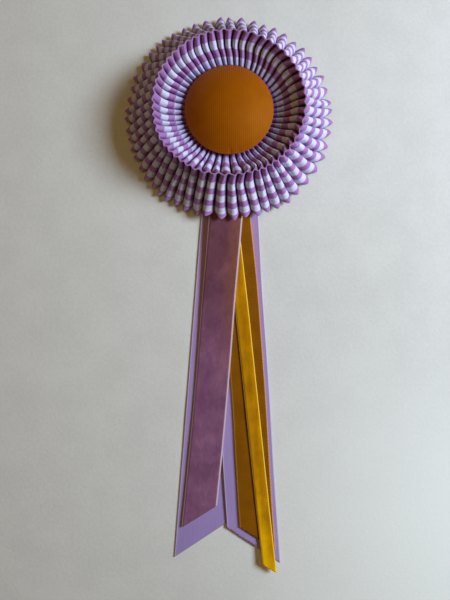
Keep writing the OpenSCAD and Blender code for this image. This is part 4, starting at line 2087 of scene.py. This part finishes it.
@dataclass
class BarPin(Part):
    """A sewn-on bar pin in the felt's window: plate, hinge, pointed wire and catch.

    Args:
        length: the plate's length.
        width: the plate's width.
        sheet: the plate's thickness.
        round_end: share of the width that its corners are rounded by.
        plate_low: the height of its underside.
        holes: where its sewing holes are along X.
        hole_radius: their radius.
        centre_y: where the pin's middle is along Y.
        wire_z: the height of the wire's middle.
        wire_radius: the wire's radius.
        point: the length of the wire's pointed end, and the radius of its tip.
        post_x: how far the hinge and the catch are from the middle.
        past_catch: how far the wire reaches past the catch's middle.
        barrel: half the length of the hinge's barrel, and its radius.
        cheek: how far the middle of a hinge cheek is from the wire, half its thickness, and its radius.
        curl: half the width of the catch's strip, half its thickness, and the radius of its curl.
        curl_turn: the angle at which the curl starts, and how far it turns.
    """

    length: float = 32.0
    width: float = 6.0
    sheet: float = 0.8
    round_end: float = 0.46
    plate_low: float = 2.0
    holes: tuple[float, ...] = (-8.5, 0.0, 8.5)
    hole_radius: float = 0.95
    centre_y: float = 20.0
    wire_z: float = 1.15
    wire_radius: float = 0.5
    point: tuple[float, float] = (5.0, 0.06)
    post_x: float = 14.2
    past_catch: float = 0.9
    barrel: tuple[float, float] = (1.7, 0.84)
    cheek: tuple[float, float, float] = (2.0, 0.2, 1.0)
    curl: tuple[float, float, float] = (1.3, 0.13, 0.87)
    curl_turn: tuple[float, float] = (-30.0, 250.0)

    def oblong(self, bm: Mesh, half_x: float, half_y: float) -> list[bmesh.types.BMVert]:
        """Adds the outline of an oblong.

        Args:
            bm: the mesh.
            half_x: half its length.
            half_y: half its width.

        Returns:
            Its corners.
        """
        corners = bmesh.ops.create_grid(bm, x_segments=1, y_segments=1, size=1)["verts"]
        bmesh.ops.scale(bm, vec=(half_x, half_y, 1), verts=corners)
        return corners

    def plate(self, bm: Mesh) -> None:
        """Adds the plate with its round ends and the holes that it is sewn on by.

        Args:
            bm: the mesh, which holds nothing else yet.
        """
        corners = self.oblong(bm, self.length / 2, self.width / 2)
        bmesh.ops.bevel(
            bm, geom=corners, offset=self.width * self.round_end, segments=10, profile=0.5,
            affect="VERTICES", material=-1,
        )
        outline = list(bm.edges)
        bmesh.ops.delete(bm, geom=list(bm.faces), context="FACES_ONLY")
        for x in self.holes:
            ring = bmesh.ops.create_circle(bm, cap_ends=False, segments=24, radius=self.hole_radius)
            bmesh.ops.translate(bm, vec=(x, 0, 0), verts=ring["verts"])
            outline += edges_of(ring["verts"])
        filled_plate(bm, outline, self.sheet, self.plate_low)

    def rod(self, bm: Mesh, ends: tuple[float, float], radii: tuple[float, float], lay: Lay) -> None:
        """Adds a round rod at the wire's height.

        Args:
            bm: the mesh.
            ends: where it starts and ends along its axis.
            radii: its radius at its two ends.
            lay: how it lies; a rod along Y stands at the hinge.
        """
        verts = bmesh.ops.create_cone(
            bm, cap_ends=True, segments=20, radius1=radii[0], radius2=radii[1], depth=ends[1] - ends[0]
        )["verts"]
        bmesh.ops.rotate(bm, matrix=turned(90, lay.value), verts=verts)
        middle = sum(ends) / 2
        place = (middle, 0, self.wire_z) if lay is Lay.ALONG_X else (-self.post_x, middle, self.wire_z)
        bmesh.ops.translate(bm, vec=place, verts=verts)

    def catch(self, bm: Mesh) -> None:
        """Adds the curled catch that holds the wire's point.

        Args:
            bm: the mesh, of which all else is closed.
        """
        half_width, half_sheet, radius = self.curl
        first, sweep = self.curl_turn
        axis = (self.post_x, 0, self.wire_z)
        strip = self.oblong(bm, half_width, half_sheet)
        faces = list({face for vert in strip for face in vert.link_faces})
        bmesh.ops.delete(bm, geom=faces, context="FACES_ONLY")
        bmesh.ops.translate(bm, vec=(self.post_x, radius, self.wire_z), verts=strip)
        bmesh.ops.rotate(bm, cent=axis, matrix=turned(first, "X"), verts=strip)
        bmesh.ops.spin(
            bm, geom=[*strip, *edges_of(strip)], cent=axis, axis=(1, 0, 0), angle=math.radians(sweep),
            steps=20, use_merge=False,
        )
        bmesh.ops.holes_fill(bm, edges=[edge for edge in bm.edges if edge.is_boundary], sides=4)

    def build(self) -> None:
        """Makes the pin in one piece."""
        bm = bmesh.new()
        self.plate(bm)
        reach = self.post_x + self.past_catch
        taper, tip = self.point
        half_barrel, barrel_radius = self.barrel
        off, half_cheek, cheek_radius = self.cheek
        self.rod(bm, (-self.post_x, reach - taper), (self.wire_radius, self.wire_radius), Lay.ALONG_X)
        self.rod(bm, (reach - taper, reach), (self.wire_radius, tip), Lay.ALONG_X)
        self.rod(bm, (-half_barrel, half_barrel), (barrel_radius, barrel_radius), Lay.ALONG_Y)
        for y in (-off, off):
            self.rod(bm, (y - half_cheek, y + half_cheek), (cheek_radius, cheek_radius), Lay.ALONG_Y)
        self.catch(bm)
        bmesh.ops.recalc_face_normals(bm, faces=bm.faces)
        bmesh.ops.translate(bm, vec=(0, self.centre_y, 0), verts=bm.verts)
        piece = finish_mesh(bm, "bar_pin", Steel().make(), smooth=False)
        sew_on(piece, "pin_steel", "pin_bar")


@dataclass
class Stitches(Part):
    """Whip stitches of waxed thread round the felt's rim.

    Args:
        count: how many there are.
        ring: the radius of the circle that they lie on.
        slant: degrees that they lie off the radius.
        waver: degrees that this varies by, and how fast it does from one stitch to the next.
        length: a stitch's length.
        radius: the thread's radius.
        height: the height of its middle.
    """

    count: int = 54
    ring: float = 33.4
    slant: float = 24.0
    waver: tuple[float, float] = (3.0, 2.4)
    length: float = 3.6
    radius: float = 0.26
    height: float = 0.14

    def build(self) -> None:
        """Makes all of the stitches in one piece."""
        bm = bmesh.new()
        degrees, pace = self.waver
        for k in range(self.count):
            stitch = bmesh.ops.create_uvsphere(bm, u_segments=8, v_segments=6, radius=self.radius)["verts"]
            slant = self.slant + degrees * math.sin(k * pace)
            bmesh.ops.scale(bm, vec=(self.length / 2 / self.radius, 1, 1), verts=stitch)
            bmesh.ops.translate(bm, vec=(0, 0, self.height), verts=stitch)
            bmesh.ops.rotate(bm, matrix=turned(slant, "Z"), verts=stitch)
            bmesh.ops.translate(bm, vec=(self.ring, 0, 0), verts=stitch)
            bmesh.ops.rotate(bm, matrix=turned(TURN * k / self.count, "Z"), verts=stitch)
        piece = finish_mesh(bm, "whip_stitches", Felt("waxed_thread", (0.20, 0.12, 0.19)).make())
        sew_on(piece, "felt")


# The studio

@dataclass(frozen=True)
class SoftLight:
    """A square soft light.

    Args:
        name: its name.
        place: where it is, in metres.
        aim: the point that it faces, in metres.
        size: its side in metres.
        power: its watts.
        colour: its tint.
    """

    name: str
    place: Point
    aim: Point
    size: float
    power: float
    colour: Colour

    def hang(self) -> None:
        """Puts the light into the scene."""
        lamp = bpy.data.lights.new(self.name, "AREA")
        lamp.shape = "SQUARE"
        lamp.size = self.size
        lamp.energy = self.power
        lamp.color = self.colour
        holder = bpy.data.objects.new(self.name, lamp)
        holder.location = self.place
        holder.rotation_euler = (Vector(self.aim) - Vector(self.place)).to_track_quat("-Z", "Y").to_euler()
        bpy.context.scene.collection.objects.link(holder)


@dataclass
class Studio(Part):
    """Pale paper, window light from the right and the camera over the tails.

    Args:
        eye: where the camera is, in millimetres.
        focal_px: its focal length in pixels of the photograph.
        frame_px: the photograph's longer side in pixels.
        sensor: the sensor's longer side in millimetres.
        clip: the distances between which the camera sees, in metres.
        paper_size: half the paper's side.
        paper_z: the paper's height.
        ambient: the colour that the room's light has.
        backdrop: the colour that the camera sees behind the paper.
        lights: the window's light and the room's weaker one.
    """

    eye: Point = (-2.9, -134.1, 331.0)
    focal_px: float = 441.3
    frame_px: float = 600.0
    sensor: float = 36.0
    clip: tuple[float, float] = (0.005, 50.0)
    paper_size: float = 4000.0
    paper_z: float = -0.3
    ambient: Colour = (0.02, 0.013, 0.006)
    backdrop: Colour = (0.75, 0.75, 0.74)
    lights: tuple[SoftLight, ...] = (
        SoftLight("window_light", (0.82, 0.05, 0.60), (0, -0.12, 0.0), 0.34, 13.5, (0.73, 0.85, 1.0)),
        SoftLight("room_light", (-0.15, -0.05, 1.1), (0, -0.10, 0.0), 0.9, 2.3, (1.0, 0.66, 0.26)),
    )

    def paper(self) -> None:
        """Lays the paper that the rosette lies on."""
        bm = bmesh.new()
        bmesh.ops.create_grid(bm, x_segments=1, y_segments=1, size=self.paper_size)
        bmesh.ops.translate(bm, vec=(0, 0, self.paper_z), verts=bm.verts)
        finish_mesh(bm, "paper", Paper().make(), smooth=False)

    def room(self) -> None:
        """Sets the light that comes from all sides, and what the camera sees behind the paper."""
        world = bpy.data.worlds.new("room")
        bpy.context.scene.world = world
        world.use_nodes = True
        s = Shader(world.node_tree)
        back = next(n for n in world.node_tree.nodes if n.type == "BACKGROUND")
        seen = s.node("LightPath").outputs["Is Camera Ray"]
        s.fill(back, {"Color": s.blend(seen, self.ambient, self.backdrop), "Strength": 1.0})

    def camera(self) -> None:
        """Puts the camera where the photograph was taken from."""
        camera = bpy.data.objects.new("camera", bpy.data.cameras.new("camera"))
        camera.data.sensor_width = self.sensor
        camera.data.lens = self.focal_px / self.frame_px * self.sensor
        camera.data.clip_start, camera.data.clip_end = self.clip
        camera.location = tuple(x * MM for x in self.eye)
        bpy.context.scene.collection.objects.link(camera)
        bpy.context.scene.camera = camera

    def build(self) -> None:
        """Sets up paper, lights, room and camera."""
        self.paper()
        for light in self.lights:
            light.hang()
        self.room()
        self.camera()
        bpy.context.scene.view_settings.view_transform = "Standard"


def main() -> None:
    """Builds the rosette and its studio."""
    logging.basicConfig(level=logging.INFO, format="%(name)s: %(message)s")
    parts = (
        Studio(), Backing(), BarPin(), Stitches(), *satin_tails(), ribbed_tail(), *velvet_tails(),
        *frills(), Button(),
    )
    for part in parts:
        part.build()
    LOG.info("boxes written")


if __name__ == "__main__":
    main()
